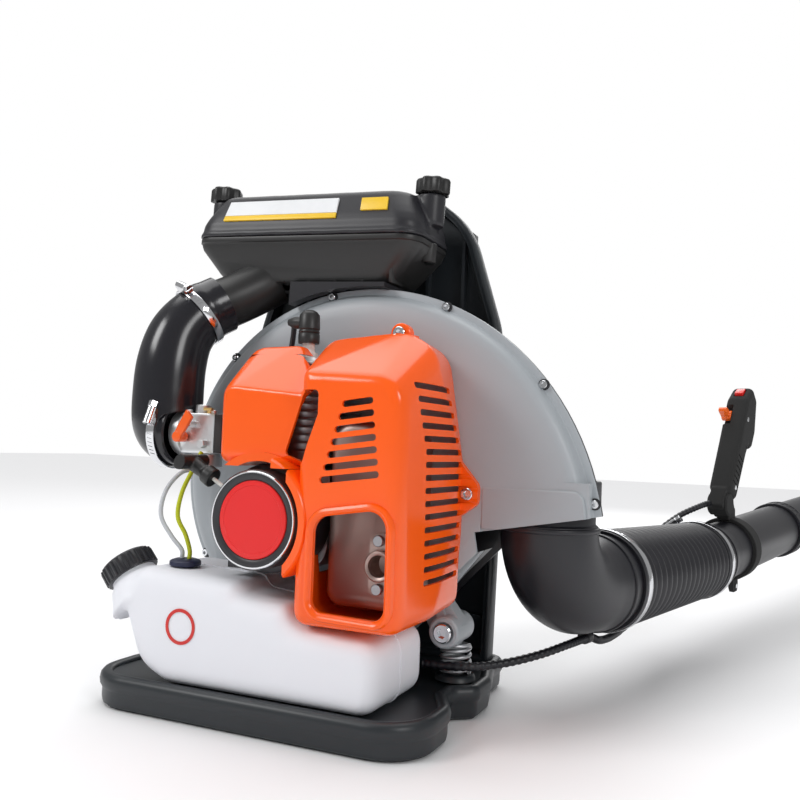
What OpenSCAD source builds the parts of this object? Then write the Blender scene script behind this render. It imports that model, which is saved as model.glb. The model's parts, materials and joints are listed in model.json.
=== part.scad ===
// Backpack leaf blower. Millimetres, +Z up, origin at the centre of the base's underside.
// +X is the wearer's right, +Y points to the wearer's back, the engine faces -Y.

/* [Base and backrest] */
// Width of the base across its front bar
base_width = 324; // [316:1:336]
// Depth of the base from front to back
base_depth = 265; // [255:1:275]
// Height of the base's rim
base_height = 30; // [26:1:32]
// Height of the backrest's top edge
back_top = 505; // [495:1:515]
// Front face of the backrest's panel
back_y = 114; // [112:1:118]

/* [Engine] */
// Sideways place of the crankshaft
crank_x = 3; // [0:1:6]
// Height of the crankshaft
crank_z = 173; // [171:1:176]
// Place of the cylinder's centre line from front to back
bore_y = -40; // [-42:1:-38]
// Cylinder bore diameter
bore_d = 46; // [40:1:50]
// Number of cooling fins
fin_count = 12; // [8:1:14]
// Wall of the moulded covers
cover_wall = 3; // [2:0.5:4]

/* [Blower] */
// Front face of the fan housing
housing_front_y = 3; // [2:1:5]
// Plane where the two housing halves meet
housing_split_y = 22; // [20:1:26]
// Rear face of the fan housing
housing_rear_y = 95; // [92:1:96]
// Scroll radius at the outlet side
scroll_start_r = 264; // [260:1:266]
// Loss of scroll radius for each degree of turn
scroll_rate = 0.532; // [0.52:0.002:0.55]
// Smallest scroll radius
scroll_end_r = 139; // [136:1:140]
// Fan outer radius
fan_r = 124; // [110:1:126]
// Number of fan blades
blade_count = 14; // [10:1:18]
// Wall of the fan housing
housing_wall = 3; // [2:0.5:4]

/* [Air duct] */
// Outer radius of the outlet elbow
elbow_r = 47; // [45:1:48]
// Length of the flexible hose between its two collars
hose_length = 236; // [220:2:240]
// Number of corrugations along the hose
hose_ribs = 17; // [12:1:20]
// Swing of the duct to the right of straight back, degrees
duct_yaw = 15.5; // [12:0.5:18]
// Rise of the straight tubes, degrees
tube_rise = 3.5; // [2:0.5:5]
// Outer radius of the control tube
tube_r = 37; // [36:0.5:38]
// Wall of the blow tubes
tube_wall = 2; // [1.6:0.2:2.4]
// Length of the control tube
tube_length = 345; // [320:5:360]
// Length of the extension tube
extension_length = 320; // [280:5:340]
// Length of the nozzle
nozzle_length = 330; // [300:5:360]

/* [Air cleaner] */
// Width of the air box
box_w = 256; // [250:1:260]
// Depth of the air box
box_d = 92; // [90:1:96]
// Height of the seam between air box and cover
box_seam_z = 445; // [443:1:447]
// Fall of the air box towards its right end, degrees
box_tilt = 2.5; // [0:0.5:4]

/* [Hidden] */
$fn = 48;

eps = 0.01;
front_y = -base_depth / 2;
rear_y = base_depth / 2;
tank_floor_z = 26;
case_front_y = -64;
flywheel_y = -88;
starter_y = -120;
carb_x = -98;
carb_y = -50;
port_z = 244;
outlet_x = 213;
outlet_y = 45;
outlet_z = 174;
throat_r = 42;
elbow_bend = 62;
elbow_exit_y = 104;
collar = 18;
spring_x = 135;
spring_y = 24;
boss_z = 76;
knob_reach = 123;
box_x = -38;
box_front_y = 0;
tank_cap_lean = -40;

// ---------- plane outlines ----------
function unit(v) = v / norm(v);
function flat2(p) = [p[0], p[1]];
function inward(a, b) = let (u = unit(b - a)) [-u[1], u[0]];

// Points of the arc that rounds corner b with radius r.
function corner_arc(a, b, c, r, steps) =
    let (u = unit(a - b), v = unit(c - b), half = acos(u * v) / 2,
         centre = b + unit(u + v) * r / sin(half),
         p0 = b + u * r / tan(half) - centre, p1 = b + v * r / tan(half) - centre,
         start = atan2(p0[1], p0[0]),
         turn = (atan2(p1[1], p1[0]) - start + 540) % 360 - 180)
    [for (k = [0:steps]) centre + r * [cos(start + turn * k / steps), sin(start + turn * k / steps)]];

// A closed outline from corners [x, y, radius].
function rounded(corners, steps = 6) =
    let (n = len(corners))
    [for (i = [0:n - 1])
        let (a = flat2(corners[(i + n - 1) % n]), b = flat2(corners[i]), c = flat2(corners[(i + 1) % n]))
        each corners[i][2] < 0.1 ? [b] : corner_arc(a, b, c, corners[i][2], steps)];

// The same corners moved inwards by d (corners run counter-clockwise).
function inset(corners, d) =
    let (n = len(corners))
    [for (i = [0:n - 1])
        let (a = flat2(corners[(i + n - 1) % n]), b = flat2(corners[i]), c = flat2(corners[(i + 1) % n]),
             n1 = inward(a, b), n2 = inward(b, c), p = b + (n1 + n2) * d / (1 + n1 * n2))
        [p[0], p[1], max(corners[i][2] - d, 0)]];

function mirrored(half) = concat(half, [for (i = [len(half) - 1:-1:0]) [-half[i][0], half[i][1], half[i][2]]]);

// An X-Z outline made solid between two depths.
module slab(y0, y1) {
    translate([0, y1, 0]) rotate([90, 0, 0]) linear_extrude(y1 - y0) children();
}

module rod_y(x, z, y0, y1, r) {
    translate([x, y1, z]) rotate([90, 0, 0]) cylinder(h = y1 - y0, r = r);
}

module rod_x(y, z, x0, x1, r) {
    translate([x0, y, z]) rotate([0, 90, 0]) cylinder(h = x1 - x0, r = r);
}

module ring(h, r_out, r_in) {
    difference() {
        cylinder(h = h, r = r_out);
        translate([0, 0, -1]) cylinder(h = h + 2, r = r_in);
    }
}

// ---------- swept tubes ----------
function catmull(a, b, c, d, t) =
    0.5 * (2 * b + (c - a) * t + (2 * a - 5 * b + 4 * c - d) * t * t + (3 * b - a - 3 * c + d) * t * t * t);
function smooth(p, steps) =
    let (n = len(p))
    concat([for (i = [0:n - 2], k = [0:steps - 1])
        catmull(p[max(i - 1, 0)], p[i], p[i + 1], p[min(i + 2, n - 1)], k / steps)], [p[n - 1]]);
function ring_points(p, i, r, sides, side_ref) =
    let (n = len(p), t = unit(p[min(i + 1, n - 1)] - p[max(i - 1, 0)]),
         u = unit(cross(side_ref, t)), v = cross(t, u))
    [for (k = [0:sides - 1]) p[i] + r * (u * cos(360 * k / sides) + v * sin(360 * k / sides))];
function skin(rings, sides, flip) =
    [for (i = [0:rings - 2], k = [0:sides - 1])
        let (a = i * sides + k, b = i * sides + (k + 1) % sides, c = b + sides, d = a + sides)
        flip ? [a, b, c, d] : [d, c, b, a]];

// A solid round bar along a path; radius may be one number or one for each point.
module swept_bar(path, r, sides, side_ref = [0, 1, 0]) {
    n = len(path);
    radius = is_list(r) ? r : [for (i = [0:n - 1]) r];
    points = [for (i = [0:n - 1]) each ring_points(path, i, radius[i], sides, side_ref)];
    ends = [[for (k = [0:sides - 1]) k], [for (k = [sides - 1:-1:0]) (n - 1) * sides + k]];
    polyhedron(points = points, faces = concat(skin(n, sides, false), ends));
}

// A hollow hose along a path.
module swept_hose(path, r, wall, sides, side_ref = [0, 1, 0]) {
    n = len(path);
    radius = is_list(r) ? r : [for (i = [0:n - 1]) r];
    outer = [for (i = [0:n - 1]) each ring_points(path, i, radius[i], sides, side_ref)];
    inner = [for (i = [0:n - 1]) each ring_points(path, i, radius[i] - wall, sides, side_ref)];
    m = n * sides;
    inner_skin = [for (f = skin(n, sides, true)) [for (q = f) q + m]];
    first = [for (k = [0:sides - 1]) let (j = (k + 1) % sides) [k, j, j + m, k + m]];
    last = [for (k = [0:sides - 1]) let (a = (n - 1) * sides, j = (k + 1) % sides) [a + j, a + k, a + k + m, a + j + m]];
    polyhedron(points = concat(outer, inner), faces = concat(skin(n, sides, false), inner_skin, first, last));
}

// ---------- base and harness ----------
half_w = base_width / 2;
base_corners = mirrored([
    [half_w, front_y, 44], [half_w, -60, 34], [half_w - 17, -26, 14], [half_w - 17, -8, 10], [half_w + 1, 6, 12],
    [half_w + 1, 44, 34], [half_w - 12, 92, 20], [half_w - 12, rear_y, 14]]);
back_corners = mirrored([
    [142, base_height - 4, 4], [146, 200, 60], [142, 362, 90], [108, 470, 90], [64, back_top, 34]]);
tank_corners = [
    [-80, tank_floor_z, 26], [120, tank_floor_z, 12], [120, 86, 14], [44, 90, 16], [38, 106, 8],
    [-8, 110, 10], [-14, 120, 6], [-112, 124, 14], [-134, 100, 18], [-110, 40, 34]];
slot_z = 476;

module base_plate() {
    difference() {
        linear_extrude(base_height) polygon(rounded(base_corners));
        for (ix = [-2:1], iy = [-2:1])
            translate([ix * 70 + 6, iy * 60 + 6, -1]) cube([58, 48, base_height - 5]);
        translate([0, 0, tank_floor_z]) linear_extrude(base_height)
            polygon(rounded([[-92, -125, 3], [124, -125, 3], [124, -10, 3], [-92, -10, 3]]));
    }
}

module backrest() {
    difference() {
        slab(back_y - 14, back_y + 8) polygon(rounded(back_corners));
        slab(back_y - 15, back_y) polygon(rounded(inset(back_corners, 8)));
        slab(back_y - 15, back_y + 9)
            polygon(rounded([[-52, slot_z - 13, 12], [52, slot_z - 13, 12], [52, slot_z + 13, 12], [-52, slot_z + 13, 12]]));
    }
}

module base_frame() {
    color("#1c1e24") {
        base_plate();
        backrest();
        for (s = [-1, 1]) translate([s * spring_x, spring_y, base_height - 1]) cylinder(h = 5, r = 15);
    }
}

module back_pad() {
    pad = mirrored([[112, 96, 24], [118, 240, 80], [104, 420, 34]]);
    color("#26282c") slab(back_y + 8, back_y + 28) polygon(rounded(pad));
}

strap_side = [[0, -1, 470], [0, 6, 458], [0, 30, 440], [0, 46, 400], [0, 56, 340], [0, 58, 280], [0, 54, 220],
              [0, 42, 160], [0, 22, 112], [0, 4, 84], [0, -1, 66]];
strap_w = 54;
strap_t = 9;

module shoulder_strap(side) {
    path = [for (p = smooth(strap_side, 3)) [p[1], p[2]]];
    n = len(path);
    normal = [for (i = [0:n - 1]) let (t = unit(path[min(i + 1, n - 1)] - path[max(i - 1, 0)])) [-t[1], t[0]]];
    outline = concat([for (i = [0:n - 1]) path[i] + normal[i] * strap_t / 2],
                     [for (i = [n - 1:-1:0]) path[i] - normal[i] * strap_t / 2]);
    color("#1a1a1c") translate([side * 72 - strap_w / 2, back_y + 34, 0])
        rotate([90, 0, 90]) linear_extrude(strap_w) polygon(outline);
}

module shoulder_strap_left() { shoulder_strap(-1); }
module shoulder_strap_right() { shoulder_strap(1); }

module strap_buckles() {
    color("#2b2c2e") for (s = [-1, 1], z = [66, 452]) translate([s * 72, back_y + 28.2, z])
        difference() {
            translate([-31, -20, -9]) cube([62, 20, 26]);
            translate([-24, -21, -3]) cube([48, 14, 5]);
            translate([-24, -21, 6]) cube([48, 14, 5]);
        }
}

// ---------- anti-vibration mounts ----------
coil_turns = 5;
coil_steps = 14;
function coil(r, z0, z1) =
    [for (i = [0:coil_turns * coil_steps]) let (a = i * 360 / coil_steps, k = i / (coil_turns * coil_steps))
        [r * cos(a), r * sin(a), z0 + (z1 - z0) * k]];

module spring_mounts() {
    color("#b9bcc0") for (s = [-1, 1]) translate([s * spring_x, spring_y, 0])
        swept_bar(coil(13, base_height + 6, boss_z - 16.5), 1.6, 6, [0, 0, 1]);
}

// ---------- fan housing ----------
function scroll_r(a) = max(scroll_start_r - scroll_rate * a, scroll_end_r);
function scroll(shrink, least) =
    [for (a = [0:6:318]) let (r = max(scroll_r(a) - shrink, least)) [crank_x + r * cos(a), crank_z + r * sin(a)]];
function scroll_outline(shrink, wall = 0) =
    let (edge = shrink + wall)
    concat(scroll(edge, scroll_end_r - 8 - wall),
           [[162 - wall, 150 + wall / 2], [162 - wall, 172], [crank_x + scroll_start_r - edge, 172]]);
outlet_slope = 10.5;

module outlet_cut() {
    translate([162, 0, 166]) rotate([0, -outlet_slope, 0]) translate([-6, -1, -120]) cube([140, 120, 120]);
}

// The outlet's bore, with a wider step below that clears the elbow's shoulder.
module outlet_bore() {
    translate([outlet_x, outlet_y, 150]) {
        cylinder(h = 66, r = throat_r);
        cylinder(h = outlet_z - 150 + 0.4, r = throat_r + 2.4);
    }
}

module outlet_block(y0, y1) {
    intersection() {
        slab(y0, y1) polygon([[160, 160], [160, 214], [254, 214], [254.5, 160]]);
        union() {
            translate([outlet_x, outlet_y, 150]) cylinder(h = 70, r = throat_r + 4);
            translate([150, 0, 150]) cube([110, outlet_y, 70]);
        }
    }
}

module foot(side) {
    slab(housing_front_y, housing_split_y - 2) polygon([
        [side * 92 + 3, 112], [side * 118 + 1, 112], [side * 147, 82], [side * 149, boss_z], [side * 142, boss_z - 14],
        [side * 130, boss_z - 14], [side * 118, boss_z - 2]]);
    difference() {
        rod_y(side * spring_x, boss_z, housing_front_y - 14, housing_split_y + 12, 14);
        rod_y(side * spring_x, boss_z, housing_front_y - 15, housing_front_y, 5);
    }
}

rim_bolts = [5, 31, 60, 92, 128, 164, 200];
rim_inset = 4;
function rim_x(a) = crank_x + (scroll_r(a) - rim_inset) * cos(a);
function rim_z(a) = crank_z + (scroll_r(a) - rim_inset) * sin(a);
// Depth and inset of each step of the rear shell's rounded back
rear_steps = [[50, 8], [68, 16], [82, 28], [housing_rear_y, 44]];

module volute_front() {
    color("#9fa4a8") {
        difference() {
            union() {
                slab(housing_front_y, housing_split_y) polygon(scroll_outline(8));
                slab(housing_split_y - 4, housing_split_y) polygon(scroll_outline(0));
                outlet_block(housing_front_y, housing_split_y);
                for (s = [-1, 1]) foot(s);
            }
            slab(housing_front_y + housing_wall, housing_split_y + 1) polygon(scroll_outline(8, housing_wall));
            rod_y(crank_x, crank_z, housing_front_y - 1, housing_split_y, 18);
            outlet_bore();
            outlet_cut();
            for (a = rim_bolts) rod_y(rim_x(a), rim_z(a), housing_split_y - 5, housing_split_y + 1, 2.6);
        }
    }
}

module volute_rear() {
    color("#25272b") difference() {
        union() {
            for (s = rear_steps) slab(housing_split_y, s[0]) polygon(scroll_outline(s[1]));
            slab(housing_split_y, housing_split_y + 4) polygon(scroll_outline(0));
            outlet_block(housing_split_y, housing_rear_y);
        }
        for (s = rear_steps) slab(housing_split_y - 1, s[0] - housing_wall) polygon(scroll_outline(s[1], housing_wall));
        for (r = [30:16:78]) slab(housing_rear_y - 4, housing_rear_y + 1)
            for (q = [0:3]) translate([crank_x, crank_z]) rotate(q * 90 + 4) difference() {
                intersection() { circle(r = r + 10); square(r + 20); }
                circle(r = r);
                translate([-1, -1]) square([r + 20, 8]);
            }
        outlet_bore();
        outlet_cut();
        for (a = rim_bolts) rod_y(rim_x(a), rim_z(a), housing_split_y - 1, housing_split_y + 5, 2.6);
    }
}

module cap_screw(x, z, y_head, length, r, head_r) {
    rod_y(x, z, y_head, y_head + length, r);
    difference() {
        rod_y(x, z, y_head - 4, y_head, head_r);
        rod_y(x, z, y_head - 5, y_head - 2, r * 0.8);
    }
}

module housing_screws() {
    color("#c8cbd0") {
        for (a = rim_bolts) cap_screw(rim_x(a), rim_z(a), housing_split_y - 4, 8, 2.5, 3.5);
        for (s = [-1, 1]) cap_screw(s * spring_x, boss_z, housing_front_y - 14, 10, 4.9, 8.8);
    }
}

module fan_impeller() {
    hub_front = housing_front_y + housing_wall + 4;
    color("#34363a") {
        difference() {
            union() {
                rod_y(crank_x, crank_z, hub_front + 6, hub_front + 9, fan_r);
                rod_y(crank_x, crank_z, hub_front, hub_front + 30, 17);
                for (k = [0:blade_count - 1]) translate([crank_x, 0, crank_z]) rotate([0, k * 360 / blade_count, 0])
                    translate([52, hub_front + 8, -14]) rotate([0, 24, 0]) cube([fan_r - 62, 46, 2.4]);
            }
            rod_y(crank_x, crank_z, hub_front - 1, hub_front + 31, 7.5);
        }
    }
}

// ---------- engine ----------
module crankcase() {
    color("#8f9296") difference() {
        union() {
            slab(case_front_y, housing_front_y - 0.2) polygon(rounded([[-38, 128, 22], [44, 128, 22], [44, 217, 8], [-38, 217, 8]]));
            rod_y(crank_x, crank_z, case_front_y - 8, case_front_y + 1, 24);
        }
        slab(case_front_y + 8, housing_front_y - 14) polygon(rounded([[-32, 134, 18], [38, 134, 18], [38, 218, 4], [-32, 218, 4]]));
        rod_y(crank_x, crank_z, case_front_y - 9, housing_front_y, 16);
    }
}

module cylinder_body() {
    translate([crank_x, bore_y, 217.2]) {
        cylinder(h = 98, r = bore_d / 2 + 6);
        for (k = [0:fin_count - 1]) translate([-40, -34, 14 + k * 7]) cube([80, 68, 2.2]);
        translate([-28, -20, 0]) cube([56, 40, 8]);
    }
    rod_x(bore_y, port_z, -38, 0, 15);
    rod_x(bore_y, port_z, 0, 48, 15);
}

module engine_cylinder() {
    color("#a7aaad") difference() {
        cylinder_body();
        translate([crank_x, bore_y, 216]) cylinder(h = 92, r = bore_d / 2);
        translate([crank_x, bore_y, 300]) cylinder(h = 20, r = 5.1);
        rod_x(bore_y, port_z, -39, -10, 10);
        rod_x(bore_y, port_z, 15, 49, 10);
    }
}

piston_z = 269;

module piston() {
    color("#b9babc") difference() {
        translate([crank_x, bore_y, piston_z]) cylinder(h = 30, r = bore_d / 2 - 0.05);
        translate([crank_x, bore_y, piston_z - 1]) cylinder(h = 24, r = bore_d / 2 - 4);
        rod_x(bore_y, piston_z + 10, crank_x - 30, crank_x + 30, 5);
        for (k = [0:1]) translate([crank_x, bore_y, piston_z + 25.5 - k * 4]) ring(1.4, bore_d, bore_d / 2 - 1.5);
    }
}

module con_rod() {
    color("#7d8084") {
        rod_x(bore_y, piston_z + 10, crank_x - 21, crank_x + 21, 4.98);
        difference() {
            union() {
                rod_y(crank_x, crank_z + 34, bore_y - 5, bore_y + 5, 12);
                translate([crank_x - 5, bore_y - 4, crank_z + 44]) cube([10, 8, piston_z + 10 - crank_z - 44]);
            }
            rod_y(crank_x, crank_z + 34, bore_y - 6, bore_y + 6, 7);
        }
    }
}

module crankshaft() {
    color("#6d7074") {
        rod_y(crank_x, crank_z, flywheel_y - 6, bore_y - 7, 7.4);
        rod_y(crank_x, crank_z, bore_y + 7, 44, 7.4);
        for (y = [bore_y - 14, bore_y + 7]) rod_y(crank_x, crank_z, y, y + 7, 30);
    }
}

module main_bearings() {
    color("#c5c8cc") for (y = [case_front_y - 4, -12])
        translate([crank_x, y + 8, crank_z]) rotate([90, 0, 0]) ring(8, 15.95, 7.45);
}

module flywheel() {
    color("#8b8e92") difference() {
        union() {
            rod_y(crank_x, crank_z, flywheel_y, flywheel_y + 9, 43);
            rod_y(crank_x, crank_z, flywheel_y, flywheel_y + 14, 14);
            for (k = [0:11]) translate([crank_x, flywheel_y - 7, crank_z]) rotate([0, k * 30, 0])
                translate([24, 0, -1.2]) cube([17, 8, 2.4]);
        }
        rod_y(crank_x, crank_z, flywheel_y - 1, flywheel_y + 15, 7.42);
    }
}

lead_path = [[-34, -84, 241], [-39, -80, 250], [-41, -66, 272], [-41, -40, 290], [-41, -12, 306], [-37, -5, 330],
             [-28, -16, 350], [-20, -34, 352], [-13, -40, 350], [-7, -40, 350]];

module ignition_coil() {
    color("#202124") {
        translate([-38.5, -90, 223]) cube([34, 15.8, 22]);
        swept_bar(smooth(lead_path, 3), 2.7, 8);
    }
}

module spark_plug() {
    color("#d9d9d4") translate([crank_x, bore_y, 0]) {
        translate([0, 0, 300]) cylinder(h = 15.2, r = 5);
        translate([0, 0, 315.2]) cylinder(h = 7, r = 9.2, $fn = 6);
        translate([0, 0, 322.2]) cylinder(h = 12, r = 6);
        translate([0, 0, 334.2]) cylinder(h = 6, r = 3.2);
    }
}

module plug_cap() {
    color("#1d1d1f") translate([crank_x, bore_y, 0]) difference() {
        union() {
            translate([0, 0, 330]) cylinder(h = 28, r = 10);
            translate([0, 0, 356]) cylinder(h = 6, r1 = 10, r2 = 6);
        }
        translate([0, 0, 329]) cylinder(h = 5.4, r = 6.3);
        translate([0, 0, 334]) cylinder(h = 7, r = 3.5);
        translate([-20, -4, 346]) cube([12, 8, 8]);
    }
}

module carburettor() {
    color("#a9acb0") difference() {
        union() {
            translate([carb_x - 20, carb_y - 17, port_z - 20]) cube([40, 34, 40]);
            rod_x(carb_y, port_z, carb_x - 30, carb_x - 19, 22);
            translate([carb_x, carb_y, port_z - 32]) cylinder(h = 13, r = 15);
            translate([carb_x - 2, carb_y - 6, port_z + 19]) cylinder(h = 8, r = 7);
        }
        rod_x(carb_y, port_z, carb_x - 31, carb_x + 21, 11);
        translate([carb_x + 10, carb_y - 12, port_z + 10]) cylinder(h = 20, r = 3.05);
        translate([carb_x, carb_y, port_z - 33]) cylinder(h = 9, r = 9.4);
    }
}

module intake_adaptor() {
    color("#2a2b2e") difference() {
        rounded_block(-77.8, -38.2);
        hull() {
            rod_x(carb_y, port_z, -79, -77, 10);
            rod_x(bore_y, port_z, -38, -36, 10);
        }
    }
}

module rounded_block(x0, x1) {
    translate([x0, carb_y - 18, port_z - 18]) cube([8, 36, 36]);
    translate([x0 + 7, bore_y - 24, port_z - 15]) cube([x1 - x0 - 7, 38, 30]);
}

module choke_lever() {
    color("#f2581a") {
        rod_y(carb_x - 14, port_z - 4, carb_y - 30, carb_y - 17.4, 5);
        translate([carb_x - 14, carb_y - 30, port_z - 4]) rotate([0, 30, 0]) translate([-3, 0, 0]) cube([6, 4, 24]);
    }
}

module throttle_arm() {
    color("#c9a94d") {
        translate([carb_x + 10, carb_y - 12, port_z + 12]) cylinder(h = 12, r = 3);
        translate([carb_x + 10, carb_y - 12, port_z + 21]) rotate([0, 0, -60]) translate([-3.6, -3.6, 0]) cube([25, 7.2, 2.5]);
    }
}

module primer_bulb() {
    color("#8d2f28") translate([carb_x, carb_y, port_z - 41]) {
        cylinder(h = 4, r1 = 6, r2 = 9);
        translate([0, 0, 4]) cylinder(h = 7, r = 9);
    }
}

muffler_corners = [[58, 104, 14], [124, 104, 14], [124, 258, 20], [58, 258, 20]];

module muffler() {
    color("#8a6f66") {
        difference() {
            slab(-92, -18) polygon(rounded(muffler_corners));
            slab(-90, -20) polygon(rounded(inset(muffler_corners, 2)));
            rod_x(bore_y, port_z, 50, 62, 10);
            rod_y(111, 142, -96, -88, 9);
        }
        difference() {
            rod_x(bore_y, port_z, 48.2, 58.1, 14.8);
            rod_x(bore_y, port_z, 48, 62, 10);
        }
        difference() {
            slab(-96, -92.1) union() {
                translate([111, 142]) circle(r = 14);
                polygon([
                    [104, 120], [112, 118], [120, 136], [118, 152], [112, 168], [104, 166], [99, 148], [99, 136]]);
            }
            rod_y(111, 142, -97, -91, 9);
        }
        for (z = [123, 162]) rod_y(109, z, -99, -95.9, 3);
    }
}

// ---------- covers ----------
cover_y = -128;
cover_body = [[46, 92, 12], [142, 92, 14], [139, 296, 26], [46, 300, 6]];
cover_body_mid = [[46, 94, 12], [146, 94, 14], [142, 320, 30], [112, 337, 30], [30, 330, 20], [24, 240, 4]];
cover_body_rear = [[46, 96, 12], [142, 96, 14], [146, 214, 60], [128, 322, 30], [100, 337, 30], [30, 328, 20], [24, 240, 4]];
cover_lobe = [[-43, 219, 8], [48, 219, 4], [48, 284, 6], [-43, 292, 14]];
cover_lobe_rear = [[-50, 219, 8], [20, 219, 4], [14, 326, 8], [-46, 324, 20]];

module cover_solid(d) {
    hull() {
        slab(cover_y + d, cover_y + d + 1) polygon(rounded(inset(cover_body, d), 4));
        slab(-62, -60) polygon(rounded(inset(cover_body_mid, d), 4));
        slab(0, d > 0 ? 4 : 2.4) polygon(rounded(inset(cover_body_rear, d), 4));
    }
    hull() {
        slab(-112 + d, -111 + d) polygon(rounded(inset(cover_lobe, d), 4));
        slab(-66, -64) polygon(rounded(inset(cover_lobe_rear, d), 4));
        slab(-26, d > 0 ? -20 : -24) polygon(rounded(inset(cover_lobe_rear, d), 4));
    }
}

front_slots = 7;
side_slots = 16;

module engine_cover() {
    color("#ff5a0a") difference() {
        union() {
            cover_solid(0);
            rod_y(104, 336, -58, -50, 9);
            slab(-6, 2.4) polygon(rounded([[140, 176, 2], [160, 192, 8], [160, 206, 8], [140, 232, 2]], 4));
        }
        cover_solid(cover_wall);
        rod_y(crank_x, crank_z, cover_y - 1, -60, 49);
        translate([-60, -64, 212]) cube([22, 60, 80]);
        translate([20, case_front_y - 12, 128]) cube([28, 79, 189]);
        translate([-40, case_front_y - 11, 216]) cube([84, 78, 101]);
        translate([crank_x - 16, bore_y - 16, 300]) cube([34, 60, 60]);
        slab(cover_y - 1, -100) polygon(rounded([[66, 106, 8], [130, 104, 8], [129, 190, 12], [66, 180, 12]]));
        slab(cover_y - 1, -98) polygon([[28, 228], [49, 221], [64, 262], [64, 281], [44, 281]]);
        for (k = [0:front_slots - 1])
            slab(cover_y - 1, -100) translate([111 + k * 1.2, 274 - k * 9.6]) rotate(8)
                translate([-22 - k * 4.2, -2.4]) square([22 + k * 4.2, 4.8]);
        for (k = [0:side_slots - 1])
            translate([120, -104 + min(k, 5) * 4, 286 - k * 10.6]) cube([40, 78, 4.6]);
        rod_y(104, 336, -60, -49, 2.6);
        rod_y(152, 199, -8, 4, 2.6);
    }
}

starter_ring = 42;

module starter_housing() {
    color("#23242a") difference() {
        union() {
            rod_y(crank_x, crank_z, starter_y, flywheel_y - 6, starter_ring);
            rod_y(crank_x, crank_z, flywheel_y - 12, case_front_y - 5.5, 47);
            slab(flywheel_y - 8, case_front_y - 0.2) polygon([[-36, 128], [36, 128], [36, 165], [-36, 165]]);
        }
        rod_y(crank_x, crank_z, starter_y - 1, starter_y + 2, 33);
        rod_y(crank_x, crank_z, starter_y + 4, flywheel_y - 4, 38);
        rod_y(crank_x, crank_z, flywheel_y - 9.5, case_front_y - 8.2, 44.4);
        rod_y(crank_x, crank_z, case_front_y - 9, case_front_y + 1, 24.2);
        translate([crank_x - 30, -104, crank_z + 18]) rotate([0, -60, 0]) cylinder(h = 40, r = 4.5);
    }
    color("#23242a") rod_y(crank_x, crank_z, starter_y + 3.9, starter_y + 24.5, 5.95);
}

module starter_badge() {
    color("#e01c14") rod_y(crank_x, crank_z, starter_y - 1, starter_y + 2, 32.8);
}

reel_r = 26;

module starter_reel() {
    color("#d8d4c8") difference() {
        union() {
            rod_y(crank_x, crank_z, starter_y + 14, starter_y + 22, reel_r);
            for (y = [starter_y + 12, starter_y + 22]) rod_y(crank_x, crank_z, y, y + 2, 36);
        }
        rod_y(crank_x, crank_z, starter_y + 11, starter_y + 25, 6);
    }
}

module recoil_spring() {
    color("#70747a") for (k = [0:3]) translate([crank_x, starter_y + 11, crank_z])
        rotate([90, 0, 0]) ring(5, 16 + k * 4, 14.6 + k * 4);
}

pull_dir = [-0.866, 0, 0.5];
pull_seat = [crank_x - 30, -104, crank_z + 18] + 26 * pull_dir;

module along_pull() {
    translate(pull_seat) rotate([0, -60, 0]) children();
}

module starter_handle() {
    color("#1b1b1d") along_pull() difference() {
        union() {
            cylinder(h = 10, r = 9);
            translate([0, 0, 10]) cylinder(h = 14, r = 6.5);
            translate([-7, -18, 22]) cube([14, 36, 12]);
        }
        translate([0, 0, -1]) cylinder(h = 10, r = 2.4);
    }
}

module starter_rope() {
    color("#e8e6df") along_pull() translate([0, 0, -14]) cylinder(h = 22, r = 1.75);
}

// ---------- fuel system ----------
neck_base = [-134, -94, 103];

module along_neck() {
    translate(neck_base) rotate([0, tank_cap_lean, 0]) children();
}

module tank_shape(d) {
    slab(-124 + d, -14 - d) polygon(rounded(inset(tank_corners, d)));
    along_neck() translate([0, 0, -10]) cylinder(h = 34, r = 20 - d);
}

module fuel_tank() {
    color("#eef0f4") difference() {
        tank_shape(0);
        tank_shape(2.5);
        along_neck() cylinder(h = 40, r = 17.5);
        rod_y(crank_x, crank_z, -126, -4, 50);
        translate([-86, -90, 110]) cylinder(h = 30, r = 8.2);
    }
}

module fuel_cap() {
    color("#1e2026") along_neck() difference() {
        union() {
            translate([0, 0, 10]) cylinder(h = 18, r = 24);
            for (k = [0:17]) rotate(k * 20) translate([23.4, 0, 10.5]) cylinder(h = 15, r = 1.8, $fn = 16);
        }
        translate([0, 0, 9]) cylinder(h = 16.5, r = 21.3);
    }
}

module cap_gasket() {
    color("#8a3a2e") along_neck() translate([0, 0, 24]) ring(1.4, 19.8, 15);
}

module tank_grommet() {
    color("#1c2140") translate([-86, -90, 0]) difference() {
        union() {
            translate([0, 0, 121.8]) cylinder(h = 6, r = 8);
            translate([0, 0, 124.2]) cylinder(h = 5, r = 14);
        }
        for (x = [-4, 4]) translate([x, 0, 120]) cylinder(h = 12, r = 2.1);
    }
}

fuel_path = [[-82, -90, 112], [-82, -90, 121], [-82, -90, 130], [-82, -90, 138], [-86, -92, 152], [-94, -94, 168],
             [-92, -92, 190], [-88, -82, 212], [-88, -72, 226]];
return_path = [[-90, -90, 112], [-90, -90, 121], [-90, -90, 130], [-91, -90, 138], [-102, -92, 150], [-113, -94, 168],
               [-112, -90, 190], [-106, -78, 206], [-102, -66, 209]];

module fuel_line() { color("#b7c21f") swept_hose(smooth(fuel_path, 3), 2, 0.8, 8); }
module return_line() { color("#c9ccd0") swept_hose(smooth(return_path, 3), 2, 0.8, 8); }

// ---------- air cleaner ----------
module box_frame() {
    translate([box_x, 0, box_seam_z]) rotate([0, box_tilt, 0]) children();
}

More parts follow.
